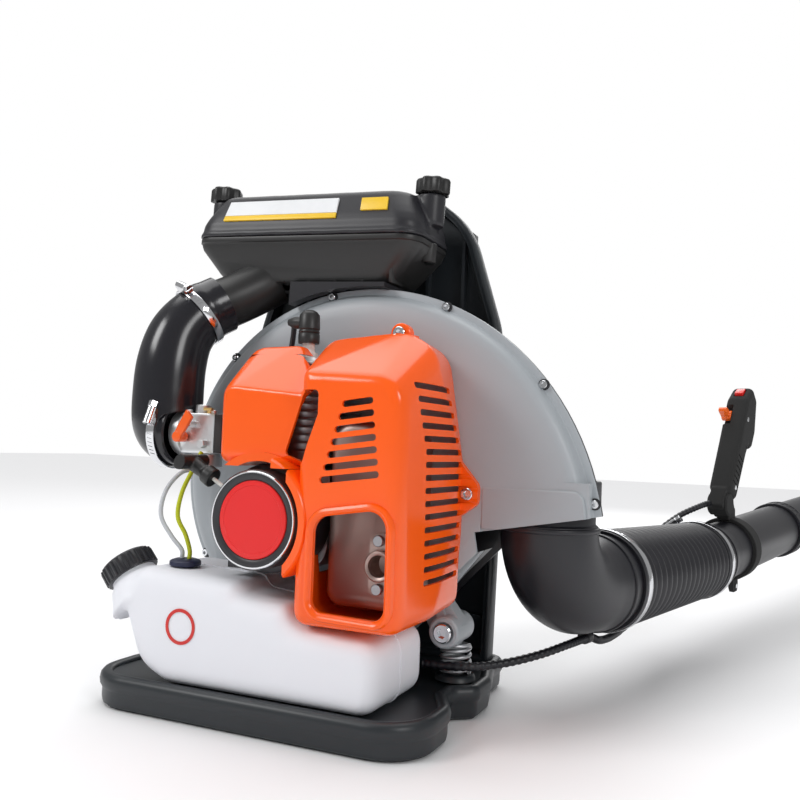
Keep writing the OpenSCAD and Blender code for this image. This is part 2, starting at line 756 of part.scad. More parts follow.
module box_outline(grow) {
    polygon(rounded([
        [-box_w / 2 - grow, box_front_y - grow, 22], [box_w / 2 + grow, box_front_y - grow, 22],
        [box_w / 2 + grow, box_front_y + box_d + grow, 16], [-box_w / 2 - grow, box_front_y + box_d + grow, 16]]));
}

module case_body(d) {
    hull() {
        translate([0, 0, -10]) linear_extrude(d > 0 ? 12 : 10) box_outline(-d);
        translate([-4, box_front_y + 10 + d, -46 + d]) linear_extrude(1)
            polygon(rounded([[-92 + d, 0, 16], [104 - d, 0, 16], [104 - d, 70 - 2 * d, 12], [-92 + d, 70 - 2 * d, 12]]));
    }
}

neck_path = [[-84, 34, 408], [-96, 24, 398], [-112, 6, 384], [-122, -8.4, 375]];

module air_case() {
    color("#1f2023") difference() {
        union() {
            difference() {
                union() {
                    box_frame() case_body(0);
                    swept_bar(neck_path, 26, 24);
                }
                box_frame() case_body(cover_wall);
                swept_bar(concat([[-70, 44, 418]], neck_path, [[-130, -20, 368]]), 22, 24);
            }
            box_frame() for (s = [-1, 1]) translate([s * knob_reach, 46, -16]) cylinder(h = 16, r = 7);
        }
        box_frame() for (s = [-1, 1]) translate([s * knob_reach, 46, -12]) cylinder(h = 14, r = 4.2);
    }
}

module air_cover() {
    color("#202124") box_frame() difference() {
        union() {
            hull() {
                linear_extrude(14) box_outline(1);
                translate([0, 8, 44]) linear_extrude(2) polygon(rounded([[-112, 6, 20], [112, 6, 20], [112, 76, 16], [-112, 76, 16]]));
            }
            for (s = [-1, 1]) translate([s * (knob_reach - 1), 46, 20]) cylinder(h = 28, r = 13);
        }
        hull() {
            translate([0, 0, -1]) linear_extrude(14) box_outline(1 - cover_wall);
            translate([0, 8, 40]) linear_extrude(1) polygon(rounded([[-106, 9, 20], [106, 9, 20], [106, 73, 16], [-106, 73, 16]]));
        }
        for (s = [-1, 1]) translate([s * knob_reach, 46, -2]) cylinder(h = 60, r = 3.4);
    }
}

module air_knob(side) {
    color("#17181a") box_frame() translate([side * knob_reach, 46, 0]) {
        translate([0, 0, -8]) cylinder(h = 58, r = 3);
        difference() {
            translate([0, 0, 48.3]) cylinder(h = 16, r = 17);
            for (k = [0:6]) rotate(k * 360 / 7) translate([19, 0, 48]) cylinder(h = 17, r = 4);
        }
    }
}

module air_knob_left() { air_knob(-1); }
module air_knob_right() { air_knob(1); }

module filter_element() {
    color("#b9a77c") box_frame() difference() {
        translate([-86, 22, -36]) cube([172, 50, 66]);
        translate([-78, 30, -30]) cube([156, 34, 61]);
    }
}

intake_path = [[-128, -50, 244], [-138, -50, 245], [-146, -50, 256], [-148, -49, 282], [-148, -46, 312],
               [-145, -38, 340], [-135, -24, 362], [-120, -6, 377]];
intake_r = [31, 33, 34, 34, 33.5, 32, 30, 29.5];

module intake_elbow() {
    color("#17181b") swept_hose(smooth(intake_path, 3), smooth(intake_r, 3), 3, 24);
}

module intake_clamps() {
    color("#c4c8cc") {
        translate([-134, -50, 244]) rotate([0, 88, 0]) ring(9, 35.6, 34.4);
        translate(intake_path[6] + [1, 1.5, 1]) rotate([0, 0, 47]) rotate([0, 62, 0]) translate([0, 0, -1]) ring(8, 32, 31);
    }
}

module air_box_bracket() {
    color("#26272a") difference() {
        box_frame() {
            translate([-6, 3, -50.2]) cube([104, 60, 4]);
            translate([-6, 3, -72]) cube([104, 12, 24]);
            translate([-6, 40, -72]) cube([104, 12, 24]);
        }
        slab(2, 70) polygon(scroll_outline(-0.3));
    }
}

// ---------- air duct ----------
module at_outlet() { translate([outlet_x, outlet_y, outlet_z]) rotate([0, 0, -duct_yaw]) children(); }
module at_hose() { at_outlet() translate([0, elbow_exit_y, -elbow_bend]) children(); }
module at_tube() { at_hose() translate([0, hose_length + 2 * collar, 0]) rotate([tube_rise, 0, 0]) children(); }
module barrel(y0, y1, r_out, r_in) {
    translate([0, y1, 0]) rotate([90, 0, 0]) ring(y1 - y0, r_out, r_in);
}

module elbow_section() {
    difference() { circle(r = throat_r + 2); circle(r = throat_r - 1); }
}

module outlet_elbow() {
    color("#141519") at_outlet() {
        translate([0, elbow_bend, 0]) rotate([0, 90, 0]) rotate([0, 0, -90])
            rotate_extrude(angle = 90) translate([elbow_bend, 0]) elbow_section();
        translate([0, 0, -0.5]) ring(22, throat_r - 0.4, throat_r - 3.4);
        translate([0, 0, -elbow_bend]) {
            barrel(elbow_bend - 1, elbow_bend + 10, throat_r + 2.3, throat_r - 1.4);
            translate([0, elbow_bend + 8, 0]) rotate([-90, 0, 0]) difference() {
                cylinder(h = 14, r1 = throat_r + 2, r2 = elbow_r);
                translate([0, 0, -eps]) cylinder(h = 14 + 2 * eps, r1 = throat_r - 1, r2 = elbow_r - 3);
            }
            barrel(elbow_bend + 21, elbow_exit_y + collar - 1.2, elbow_r, elbow_r - 3);
        }
        translate([-4, elbow_exit_y - 30, -elbow_bend - elbow_r - 9]) difference() {
            cube([12, 10, 11]);
            translate([6, 11, 4]) rotate([90, 0, 0]) cylinder(h = 12, r = 4.2);
        }
    }
}

module hose_clamp(r) {
    barrel(0, 9, r + 1.2, r);
    translate([-12, 0, r + 0.6]) cube([24, 9, 5]);
    translate([-16, 4.5, r + 6.8]) rotate([0, 90, 0]) cylinder(h = 34, r = 3);
}

module hose_clamp_rear() { color("#c9cdd2") at_hose() translate([0, 4, 0]) hose_clamp(elbow_r + 3.2); }
module hose_clamp_front() { color("#c9cdd2") at_hose() translate([0, hose_length + 2 * collar - 13, 0]) hose_clamp(elbow_r - 0.7); }

module flex_hose() {
    pitch = hose_length / hose_ribs;
    color("#1b1d22") at_hose() {
        barrel(0, collar, elbow_r + 3, elbow_r + 0.2);
        for (k = [0:hose_ribs - 1]) let (taper = 4 * k / hose_ribs) translate([0, collar + k * pitch, 0]) {
            barrel(-1, pitch * 0.5, elbow_r + 3 - taper, elbow_r - 1.2 - taper);
            barrel(pitch * 0.5 - 1, pitch, elbow_r + 0.4 - taper, elbow_r - 3 - taper);
        }
        translate([0, collar + hose_length, 0]) {
            barrel(-1, 1, elbow_r - 1, elbow_r - 6);
            barrel(0, collar - 3, elbow_r - 1, elbow_r - 3);
        }
    }
}

// Two L-shaped slots in a socket, for the lugs of a tube that twists by lock_turn to let go.
lock_turn = 25;
lug_half = 8;
function sector(a0, a1) = concat([[0, 0]], [for (a = [a0:5:a1]) 2 * tube_r * [-sin(a), cos(a)]]);
module lock_slots() {
    for (side = [0, 180]) rotate([0, side, 0]) {
        slab(-15, -5) polygon(sector(-lug_half, lock_turn + lug_half - 1));
        slab(-27, -7) polygon(sector(lock_turn - lug_half, lock_turn + lug_half + 2));
    }
}

module control_tube() {
    color("#15161a") at_tube() {
        barrel(-12, 24, elbow_r - 4.2, elbow_r - 6.4);
        translate([0, 24, 0]) rotate([-90, 0, 0]) difference() {
            cylinder(h = 30, r1 = elbow_r - 4.2, r2 = tube_r);
            translate([0, 0, -eps]) cylinder(h = 30 + 2 * eps, r1 = elbow_r - 6.4, r2 = tube_r - tube_wall);
        }
        barrel(54, tube_length, tube_r, tube_r - tube_wall);
        for (a = [0, 180]) rotate([0, a, 0]) translate([-4, tube_length - 14, tube_r - 0.5]) cube([8, 8, 3]);
    }
}

module extension_tube() {
    color("#17181c") at_tube() translate([0, tube_length, 0]) difference() {
        union() {
            barrel(-26, 4, tube_r + 3, tube_r + 0.4);
            barrel(0.4, extension_length, tube_r - 0.4, tube_r - 0.4 - tube_wall);
            barrel(0.4, 4, tube_r + 1, tube_r - 3);
            for (a = [0, 180]) rotate([0, a, 0]) translate([-4, extension_length - 14, tube_r - 1]) cube([8, 8, 3]);
        }
        lock_slots();
    }
}

module nozzle() {
    color("#17181c") at_tube() translate([0, tube_length + extension_length, 0]) difference() {
        union() {
            barrel(-26, 4, tube_r + 3, tube_r + 0.4);
            barrel(0.4, nozzle_length * 0.35, tube_r - 0.4, tube_r - 0.4 - tube_wall);
            barrel(0.4, 4, tube_r + 1, tube_r - 3);
            translate([0, nozzle_length * 0.35, 0]) rotate([-90, 0, 0]) difference() {
                cylinder(h = nozzle_length * 0.65, r1 = tube_r - 0.4, r2 = tube_r - 7);
                translate([0, 0, -eps]) cylinder(h = nozzle_length * 0.65 + 2 * eps, r1 = tube_r - 0.4 - tube_wall, r2 = tube_r - 7 - tube_wall);
            }
            translate([0, nozzle_length, 0]) barrel(-4, 0, tube_r - 5.4, tube_r - 9.2);
        }
        lock_slots();
    }
}

// ---------- throttle grip ----------
grip_y = 108;
grip_lean = 34;
grip_back = 30;
module at_grip() { at_tube() translate([0, grip_y - grip_back, tube_r + 16]) rotate([-grip_lean, 0, 0]) children(); }

switch_seat = [0, -15.5, 178];
switch_lean = 65;

grip_side = [
    [-17, 22, 8], [15, 22, 8], [17, 96, 20], [20, 112, 4], [33, 112, 8], [34, 142, 16], [16, 186, 8],
    [-9, 192, 6], [-22, 164, 10], [-19, 96, 30]];

module handle_grip() {
    color("#1b1c20") {
        at_tube() {
            translate([0, grip_y, 0]) barrel(-11, 11, tube_r + 5, tube_r + 0.1);
            for (s = [-1, 1]) translate([s * 8 - 3, grip_y - 10, -tube_r - 20]) cube([6, 20, 18]);
            translate([-5, grip_y, 0]) rotate([90, 0, 90]) linear_extrude(10)
                polygon([[-10, tube_r + 2], [10, tube_r + 2], [10, tube_r + 14], [-8, tube_r + 40], [-44, tube_r + 22]]);
        }
        at_grip() difference() {
            union() {
                translate([-15, 0, 0]) rotate([90, 0, 90]) linear_extrude(30) polygon(rounded(grip_side));
                translate([-10, -20, -2]) cube([20, 36, 26]);
            }
            translate([-6.2, 2, 70]) cube([12.4, 40, 41]);
            translate([-17, -30, 124]) cube([14, 22, 30]);
            translate(switch_seat) rotate([switch_lean, 0, 0]) translate([-6.8, -9, -9]) cube([13.6, 18, 30]);
            translate([-18, 9, 104]) rotate([0, 90, 0]) cylinder(h = 40, r = 2);
        }
    }
    color("#1b1c20") at_grip() translate([-15.5, 9, 104]) rotate([0, 90, 0]) cylinder(h = 31, r = 1.9);
}

module throttle_trigger() {
    color("#d8231a") at_grip() difference() {
        union() {
            translate([-5.6, 9, 104]) rotate([0, 90, 0]) cylinder(h = 11.2, r = 5);
            translate([-5.6, 0, 0]) rotate([90, 0, 90]) linear_extrude(11.2)
                polygon([[6, 104], [12, 106], [26, 100], [28, 76], [22, 74], [16, 92]]);
        }
        translate([-7, 9, 104]) rotate([0, 90, 0]) cylinder(h = 14, r = 1.98);
    }
}

module cruise_lever() {
    color("#f26a1b") at_grip() {
        translate([-16.8, -16, 139]) rotate([0, 90, 0]) cylinder(h = 13, r = 7);
        translate([-16.8, -36, 133]) cube([11, 20, 9]);
    }
}

module stop_switch() {
    color("#e02a20") at_grip() translate(switch_seat) rotate([switch_lean, 0, 0]) translate([-6, -7, -5]) cube([12, 14, 8.5]);
}

// ---------- throttle cable ----------
module cable(path) { color("#121316") swept_bar(smooth(path, 3), 4, 8, [0, 0, 1]); }
lower_route = [[112, 2, 44], [150, 6, 45], [178, 28, 47], [204, 58, 52], [224, 88, 58], [232, 106.1, 60], [236, 120.5, 60]];
upper_route = [[236.1, 120.8, 60], [238, 127.6, 59.6], [242.5, 144, 54], [246, 180, 50], [250, 226, 50], [254, 280, 54],
               [254, 330, 68], [248, 372, 98], [256, 410, 132], [284, 436, 160], [312, 452, 176], [324, 459, 180]];
module throttle_cable_lower() { cable(lower_route); }
module throttle_cable_upper() { cable(upper_route); }

base_frame();
back_pad();
shoulder_strap_left();
shoulder_strap_right();
strap_buckles();
spring_mounts();
volute_front();
volute_rear();
housing_screws();
fan_impeller();
crankcase();
engine_cylinder();
piston();
con_rod();
crankshaft();
main_bearings();
flywheel();
ignition_coil();
spark_plug();
plug_cap();
carburettor();
intake_adaptor();
choke_lever();
throttle_arm();
primer_bulb();
muffler();
engine_cover();
starter_housing();
starter_badge();
starter_reel();
recoil_spring();
starter_handle();
starter_rope();
fuel_tank();
fuel_cap();
cap_gasket();
tank_grommet();
fuel_line();
return_line();
air_case();
air_cover();
air_knob_left();
air_knob_right();
filter_element();
intake_elbow();
intake_clamps();
air_box_bracket();
outlet_elbow();
hose_clamp_rear();
hose_clamp_front();
flex_hose();
control_tube();
extension_tube();
nozzle();
handle_grip();
throttle_trigger();
cruise_lever();
stop_switch();
throttle_cable_lower();
throttle_cable_upper();
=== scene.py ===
"""Looks of the backpack leaf blower, built around its packed frame."""
import json
import math

import bmesh
import bpy
from mathutils import Matrix, Vector, noise

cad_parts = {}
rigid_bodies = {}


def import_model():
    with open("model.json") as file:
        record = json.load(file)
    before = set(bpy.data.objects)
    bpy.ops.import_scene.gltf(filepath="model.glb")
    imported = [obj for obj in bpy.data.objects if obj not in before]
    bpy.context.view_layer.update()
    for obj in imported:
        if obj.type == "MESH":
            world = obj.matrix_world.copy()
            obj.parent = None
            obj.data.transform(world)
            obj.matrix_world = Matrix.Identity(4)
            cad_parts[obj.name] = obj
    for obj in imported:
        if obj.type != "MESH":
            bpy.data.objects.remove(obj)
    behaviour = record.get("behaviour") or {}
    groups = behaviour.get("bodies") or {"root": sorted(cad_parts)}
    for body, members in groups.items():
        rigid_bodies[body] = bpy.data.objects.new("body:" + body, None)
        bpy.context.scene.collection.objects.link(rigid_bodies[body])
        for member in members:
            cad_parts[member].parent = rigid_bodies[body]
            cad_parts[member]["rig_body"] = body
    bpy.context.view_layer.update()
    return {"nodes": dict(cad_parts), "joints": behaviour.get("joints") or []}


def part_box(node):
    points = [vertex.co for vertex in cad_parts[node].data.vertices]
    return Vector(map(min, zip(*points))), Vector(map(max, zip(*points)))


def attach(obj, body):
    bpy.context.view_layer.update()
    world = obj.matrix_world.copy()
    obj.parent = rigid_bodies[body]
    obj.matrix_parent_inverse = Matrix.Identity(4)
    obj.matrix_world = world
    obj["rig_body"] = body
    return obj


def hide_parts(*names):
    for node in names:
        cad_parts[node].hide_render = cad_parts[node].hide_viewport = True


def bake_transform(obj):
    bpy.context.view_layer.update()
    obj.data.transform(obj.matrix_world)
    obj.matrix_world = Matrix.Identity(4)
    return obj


bl_info = {
    "name": "Backpack Leaf Blower",
    "version": (1, 0, 0),
    "blender": (4, 5, 0),
    "location": "View3D > Sidebar > Blower",
    "description": "Builds the visible shells, hoses, soft goods and finishes of a backpack leaf blower",
    "category": "Object",
}

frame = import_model()
NODES = frame["nodes"]
JOINTS = {joint["name"]: joint for joint in frame["joints"]}
MM = 0.001


def in_mm(point):
    """A point of the frame in millimetres."""
    return Vector(point) / MM


# ---------- places read from the frame ----------
CRANK = in_mm(JOINTS["rotor_spin"]["pos_m"])
OUTLET = in_mm(JOINTS["elbow_swivel"]["pos_m"])
TUBE_SIDE = Vector(JOINTS["hose_flex"]["axis"])
TUBE_DIR = Vector(JOINTS["nozzle_twist"]["axis"])
TUBE_UP = TUBE_SIDE.cross(TUBE_DIR)
HOSE_DIR = Vector((-TUBE_SIDE.y, TUBE_SIDE.x, 0))
HOSE_MID = in_mm(JOINTS["hose_flex"]["pos_m"])
TUBE_END = in_mm(JOINTS["extension_twist"]["pos_m"])
NOZZLE_START = in_mm(JOINTS["nozzle_twist"]["pos_m"])
BOX_UP = Vector(JOINTS["air_cover_lift"]["axis"])
BOX_RIGHT = Vector((BOX_UP.z, 0, -BOX_UP.x))
NECK_UP = Vector(JOINTS["cap_turn"]["axis"])
PULL_DIR = Vector(JOINTS["starter_pull"]["axis"])
TUBE_LENGTH = 345
TUBE_START = TUBE_END - TUBE_DIR * TUBE_LENGTH
HOSE_START = HOSE_MID - HOSE_DIR * 136
BACK_Y = 114


# ---------- outlines ----------
def inset(corners, d):
    """Corners (u, v, radius) moved inwards by d; they run counter-clockwise."""
    moved = []
    for i, (u, v, r) in enumerate(corners):
        before, here = Vector(corners[i - 1][:2]), Vector((u, v))
        after = Vector(corners[(i + 1) % len(corners)][:2])
        a, b = (here - before).normalized(), (after - here).normalized()
        n1, n2 = Vector((-a.y, a.x)), Vector((-b.y, b.x))
        p = here + (n1 + n2) * d / (1 + n1.dot(n2))
        moved.append((p.x, p.y, max(r - d, 0.3)))
    return moved


def rounded(corners, steps=8):
    """Points of a closed outline whose corners are rounded; every corner gives the same number of points."""
    points = []
    for i, (u, v, r) in enumerate(corners):
        before, here = Vector(corners[i - 1][:2]), Vector((u, v))
        after = Vector(corners[(i + 1) % len(corners)][:2])
        a, b = (before - here).normalized(), (after - here).normalized()
        half = math.acos(max(-1, min(1, a.dot(b)))) / 2
        centre = here + (a + b).normalized() * r / math.sin(half)
        p0 = here + a * r / math.tan(half) - centre
        p1 = here + b * r / math.tan(half) - centre
        start = math.atan2(p0.y, p0.x)
        turn = (math.atan2(p1.y, p1.x) - start + 3 * math.pi) % (2 * math.pi) - math.pi
        for k in range(steps + 1):
            t = start + turn * k / steps
            points.append((centre.x + r * math.cos(t), centre.y + r * math.sin(t)))
    return points


def mirrored(half):
    """Half an outline's corners and their mirror images."""
    return half + [(-u, v, r) for u, v, r in reversed(half)]


def smooth_path(points, steps):
    """A smooth curve through the points."""
    p = [Vector(q) for q in points]
    path = []
    for i in range(len(p) - 1):
        a, b, c, d = p[max(i - 1, 0)], p[i], p[i + 1], p[min(i + 2, len(p) - 1)]
        for k in range(steps):
            t = k / steps
            path.append(0.5 * (2 * b + (c - a) * t + (2 * a - 5 * b + 4 * c - d) * t * t
                               + (3 * b - a - 3 * c + d) * t ** 3))
    return path + [p[-1]]


def angles(count):
    """Equal steps of a full turn."""
    return [2 * math.pi * k / count for k in range(count)]


# ---------- solids, in millimetres ----------
def in_scene(name, mesh):
    """A mesh as an object of the scene."""
    body = bpy.data.objects.new(name, mesh)
    bpy.context.scene.collection.objects.link(body)
    return body


def solid(name, points, faces):
    """A mesh object from points in millimetres."""
    mesh = bpy.data.meshes.new(name)
    mesh.from_pydata([Vector(p) * MM for p in points], [], faces)
    mesh.validate()
    body = in_scene(name, mesh)
    work = bmesh.new()
    work.from_mesh(mesh)
    bmesh.ops.recalc_face_normals(work, faces=work.faces)
    work.to_mesh(mesh)
    work.free()
    return body


def lofted(rings, wrap=False):
    """A skin over rings of equal length, capped at both ends unless it wraps round."""
    count = len(rings[0])
    points = [p for ring in rings for p in ring]
    faces = []
    for i in range(len(rings) if wrap else len(rings) - 1):
        low, high = i * count, (i + 1) % len(rings) * count
        for k in range(count):
            n = (k + 1) % count
            faces.append((low + k, low + n, high + n, high + k))
    if not wrap:
        faces.append(tuple(range(count)))
        faces.append(tuple(range(len(points) - 1, len(points) - 1 - count, -1)))
    return solid("loft", points, faces)


PLANES = {
    "y": lambda u, v, w: (u, w, v),
    "z": lambda u, v, w: (u, v, w),
    "x": lambda u, v, w: (w, u, v),
}


def prism(outline, low, high, axis="y"):
    """An outline made solid between two places on an axis."""
    place = PLANES[axis]
    return lofted([[place(u, v, w) for u, v in outline] for w in (low, high)])


def levelled(corners, levels, axis="y", steps=8):
    """A slab with shaped edges; levels are (place on the axis, inset)."""
    place = PLANES[axis]
    return lofted([[place(u, v, w) for u, v in rounded(inset(corners, d), steps)] for w, d in levels])


def hull(points):
    """The convex hull of points."""
    work = bmesh.new()
    for p in points:
        work.verts.new(Vector(p) * MM)
    result = bmesh.ops.convex_hull(work, input=work.verts)
    spare = {g for g in result["geom_interior"] + result["geom_unused"] if isinstance(g, bmesh.types.BMVert)}
    bmesh.ops.delete(work, geom=list(spare), context="VERTS")
    mesh = bpy.data.meshes.new("hull")
    work.to_mesh(mesh)
    work.free()
    return in_scene("hull", mesh)


def hull_box(place, *spans):
    """The hull of the corners that a place function gives for three spans."""
    return hull([place(a, b, c) for a in spans[0] for b in spans[1] for c in spans[2]])


def hull_slabs(slabs):
    """The hull of X-Z outlines, each between two depths."""
    return hull([(u, w, v) for outline, low, high in slabs for u, v in outline for w in (low, high)])


def across(axis):
    """Two directions square to an axis."""
    axis = Vector(axis).normalized()
    side = axis.orthogonal().normalized()
    return side, axis.cross(side)


def circles(profile, origin, axis, sides):
    """A ring round an axis for every (distance, radius) of a profile."""
    origin, axis = Vector(origin), Vector(axis).normalized()
    u, v = across(axis)
    return [[origin + axis * d + (u * math.cos(t) + v * math.sin(t)) * max(r, 0.01) for t in angles(sides)]
            for d, r in profile]


def turned(profile, origin, axis, sides=64):
    """A closed profile of (distance, radius) turned about an axis."""
    return lofted(circles(profile, origin, axis, sides), wrap=profile[0] != profile[-1]
                  and min(r for _, r in profile) > 0.5)


def rod(start, end, r, sides=48, edge=0.0):
    """A round bar between two points, with chamfered ends where edge is given."""
    way = Vector(end) - Vector(start)
    length = way.length
    profile = [(0, r - edge), (edge, r), (length - edge, r), (length, r - edge)] if edge else [(0, r), (length, r)]
    return lofted(circles(profile, start, way, sides))


def swept(path, radius, sides=16, wall=0.0, shape=None):
    """A round bar or hose along a path; shape(angle, place) scales the radius."""
    path = [Vector(p) for p in path]
    count = len(path)
    radii = radius if isinstance(radius, list) else [radius] * count
    tangents = [(path[min(i + 1, count - 1)] - path[max(i - 1, 0)]).normalized() for i in range(count)]
    u = tangents[0].orthogonal().normalized()
    outer, inner = [], []
    for i in range(count):
        u = (u - tangents[i] * u.dot(tangents[i])).normalized()
        v = tangents[i].cross(u)
        ring, hollow = [], []
        for t in angles(sides):
            way = u * math.cos(t) + v * math.sin(t)
            grow = shape(t, i / (count - 1)) if shape else 1
            ring.append(path[i] + way * radii[i] * grow)
            hollow.append(path[i] + way * (radii[i] - wall))
        outer.append(ring)
        inner.append(hollow)
    if not wall:
        return lofted(outer)
    return lofted(outer + inner[::-1], wrap=True)


def block(low, high, turn=None, at=(0, 0, 0)):
    """A box between two corners, turned by a matrix about its own origin and then moved."""
    points = [Vector((x, y, z)) for x in (low[0], high[0]) for y in (low[1], high[1]) for z in (low[2], high[2])]
    if turn:
        points = [turn @ p for p in points]
    return hull([p + Vector(at) for p in points])


# ---------- shaping ----------
def settle(piece):
    """Applies a piece's modifiers."""
    graph = bpy.context.evaluated_depsgraph_get()
    graph.update()
    made = bpy.data.meshes.new_from_object(piece.evaluated_get(graph))
    old = piece.data
    piece.modifiers.clear()
    piece.data = made
    bpy.data.meshes.remove(old)
    return piece


def discard(*objects):
    """Deletes objects with their meshes."""
    for o in objects:
        mesh = o.data
        bpy.data.objects.remove(o)
        bpy.data.meshes.remove(mesh)


def combined(piece, others, operation="UNION"):
    """The piece with other solids added to it, or taken from it."""
    for other in others:
        step = piece.modifiers.new("combine", "BOOLEAN")
        step.operation = operation
        step.object = other
        step.solver = "MANIFOLD"
    settle(piece)
    discard(*others)
    if not piece.data.polygons:
        raise RuntimeError(f"{piece.name} came out empty")
    return piece


def carved(piece, cutters):
    """The piece with other solids taken from it."""
    return combined(piece, cutters, "DIFFERENCE")


def joined(name, parts):
    """Separate solids kept in one piece."""
    work = bmesh.new()
    for part in parts:
        work.from_mesh(part.data)
    mesh = bpy.data.meshes.new(name)
    work.to_mesh(mesh)
    work.free()
    discard(*parts)
    return in_scene(name, mesh)


def moulded(parts, voxel=2.0, rounds=6, factor=0.5):
    """Solids melted into one moulding with soft edges."""
    piece = combined(parts[0], parts[1:]) if len(parts) > 1 else parts[0]
    mesh = piece.modifiers.new("voxels", "REMESH")
    mesh.mode = "VOXEL"
    mesh.voxel_size = voxel * MM
    soft = piece.modifiers.new("soften", "SMOOTH")
    soft.factor = factor
    soft.iterations = rounds
    return settle(piece)


def finished(piece, name, slot, body, *nodes, angle=35, edge=0.0):
    """Names a piece, gives it its finish and fixes it to a body in place of CAD nodes."""
    piece.name = name
    piece.data.name = name
    piece.data.materials.clear()
    piece.data.materials.append(finish(slot))
    for polygon in piece.data.polygons:
        polygon.use_smooth = True
        polygon.material_index = 0
    if edge:
        round_off = piece.modifiers.new("edges", "BEVEL")
        round_off.width = edge * MM
        round_off.segments = 2
        round_off.limit_method = "ANGLE"
        round_off.angle_limit = math.radians(angle)
        round_off.harden_normals = False
        settle(piece)
    piece.data.set_sharp_from_angle(angle=math.radians(angle))
    if body:
        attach(piece, body)
    if nodes:
        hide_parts(*nodes)
    return piece


# ---------- finishes ----------
def linear(code):
    """A colour code as linear red, green and blue."""
    channels = [int(code[i:i + 2], 16) / 255 for i in (0, 2, 4)]
    return tuple(c / 12.92 if c <= 0.04045 else ((c + 0.055) / 1.055) ** 2.4 for c in channels)


def new_group(name, inputs, outputs):
    """An empty shader node group with its sockets."""
    group = bpy.data.node_groups.new(name, "ShaderNodeTree")
    kinds = {"color": "NodeSocketColor", "value": "NodeSocketFloat"}
    for socket, kind, default in inputs:
        made = group.interface.new_socket(socket, in_out="INPUT", socket_type=kinds[kind])
        made.default_value = default
    for socket, kind in outputs:
        group.interface.new_socket(socket, in_out="OUTPUT", socket_type=kinds[kind])
    return group, group.nodes.new("NodeGroupInput"), group.nodes.new("NodeGroupOutput")


class Net:
    """Short calls for building a node tree."""

    def __init__(self, tree):
        self.tree = tree

    def feed(self, socket, value):
        if hasattr(value, "is_output"):
            self.tree.links.new(value, socket)
        else:
            socket.default_value = value

    def math(self, operation, a, b=0.0, c=0.0, clamp=False):
        node = self.tree.nodes.new("ShaderNodeMath")
        node.operation = operation
        node.use_clamp = clamp
        for socket, value in zip(node.inputs, (a, b, c)):
            self.feed(socket, value)
        return node.outputs[0]

    def mix(self, amount, a, b, blend="MIX"):
        node = self.tree.nodes.new("ShaderNodeMix")
        node.data_type = "RGBA"
        node.blend_type = blend
        self.feed(node.inputs[0], amount)
        self.feed(node.inputs[6], a)
        self.feed(node.inputs[7], b)
        return node.outputs[2]

    def spread(self, value, low, high, to_low=0.0, to_high=1.0):
        node = self.tree.nodes.new("ShaderNodeMapRange")
        for socket, number in zip(node.inputs, (value, low, high, to_low, to_high)):
            self.feed(socket, number)
        return node.outputs[0]

    def place(self, stretch=(1, 1, 1)):
        spot = self.tree.nodes.new("ShaderNodeTexCoord").outputs["Object"]
        node = self.tree.nodes.new("ShaderNodeMapping")
        self.feed(node.inputs["Vector"], spot)
        node.inputs["Scale"].default_value = stretch
        return node.outputs[0]

    def noise(self, place, scale, detail=3.0):
        node = self.tree.nodes.new("ShaderNodeTexNoise")
        self.feed(node.inputs["Vector"], place)
        self.feed(node.inputs["Scale"], scale)
        node.inputs["Detail"].default_value = detail
        return node.outputs["Fac"]


def moulded_skin():
    """Colour drift, rubbed edges, settled dust and fine grain of a moulded or painted part."""
    group, given, result = new_group("Moulded Skin", [
        ("Colour", "color", (0.5, 0.5, 0.5, 1)), ("Edge Colour", "color", (0.6, 0.6, 0.6, 1)),
        ("Dust Colour", "color", (0.42, 0.40, 0.36, 1)), ("Roughness", "value", 0.4), ("Drift", "value", 0.1),
        ("Wear", "value", 0.3), ("Dust", "value", 0.1), ("Grain Scale", "value", 900.0)],
        [("Colour", "color"), ("Roughness", "value"), ("Height", "value")])
    net = Net(group)
    place = net.place()
    broad, middle = net.noise(place, 14.0), net.noise(place, 110.0, 5.0)
    fine = net.noise(place, given.outputs["Grain Scale"], 2.0)
    shade = net.spread(broad, 0.3, 0.7, net.math("SUBTRACT", 1.0, given.outputs["Drift"]), 1.0)
    colour = net.mix(1.0, given.outputs["Colour"], shade, "MULTIPLY")
    surface = group.nodes.new("ShaderNodeNewGeometry")
    edge = net.spread(surface.outputs["Pointiness"], 0.515, 0.60)
    rubbed = net.math("MULTIPLY", net.math("MULTIPLY", edge, net.spread(middle, 0.42, 0.6)), given.outputs["Wear"])
    colour = net.mix(rubbed, colour, given.outputs["Edge Colour"])
    split = group.nodes.new("ShaderNodeSeparateXYZ")
    net.feed(split.inputs[0], surface.outputs["Normal"])
    lying = net.math("MULTIPLY", net.spread(split.outputs["Z"], 0.2, 1.0), net.spread(middle, 0.35, 0.75))
    dust = net.math("MULTIPLY", lying, given.outputs["Dust"])
    colour = net.mix(dust, colour, given.outputs["Dust Colour"])
    rough = net.math("ADD", given.outputs["Roughness"], net.spread(middle, 0.3, 0.7, -0.04, 0.07))
    rough = net.math("ADD", rough, net.math("MULTIPLY", dust, 0.5), clamp=True)
    net.feed(result.inputs["Colour"], colour)
    net.feed(result.inputs["Roughness"], rough)
    net.feed(result.inputs["Height"], net.math("ADD", fine, net.math("MULTIPLY", broad, 0.25)))
    return group


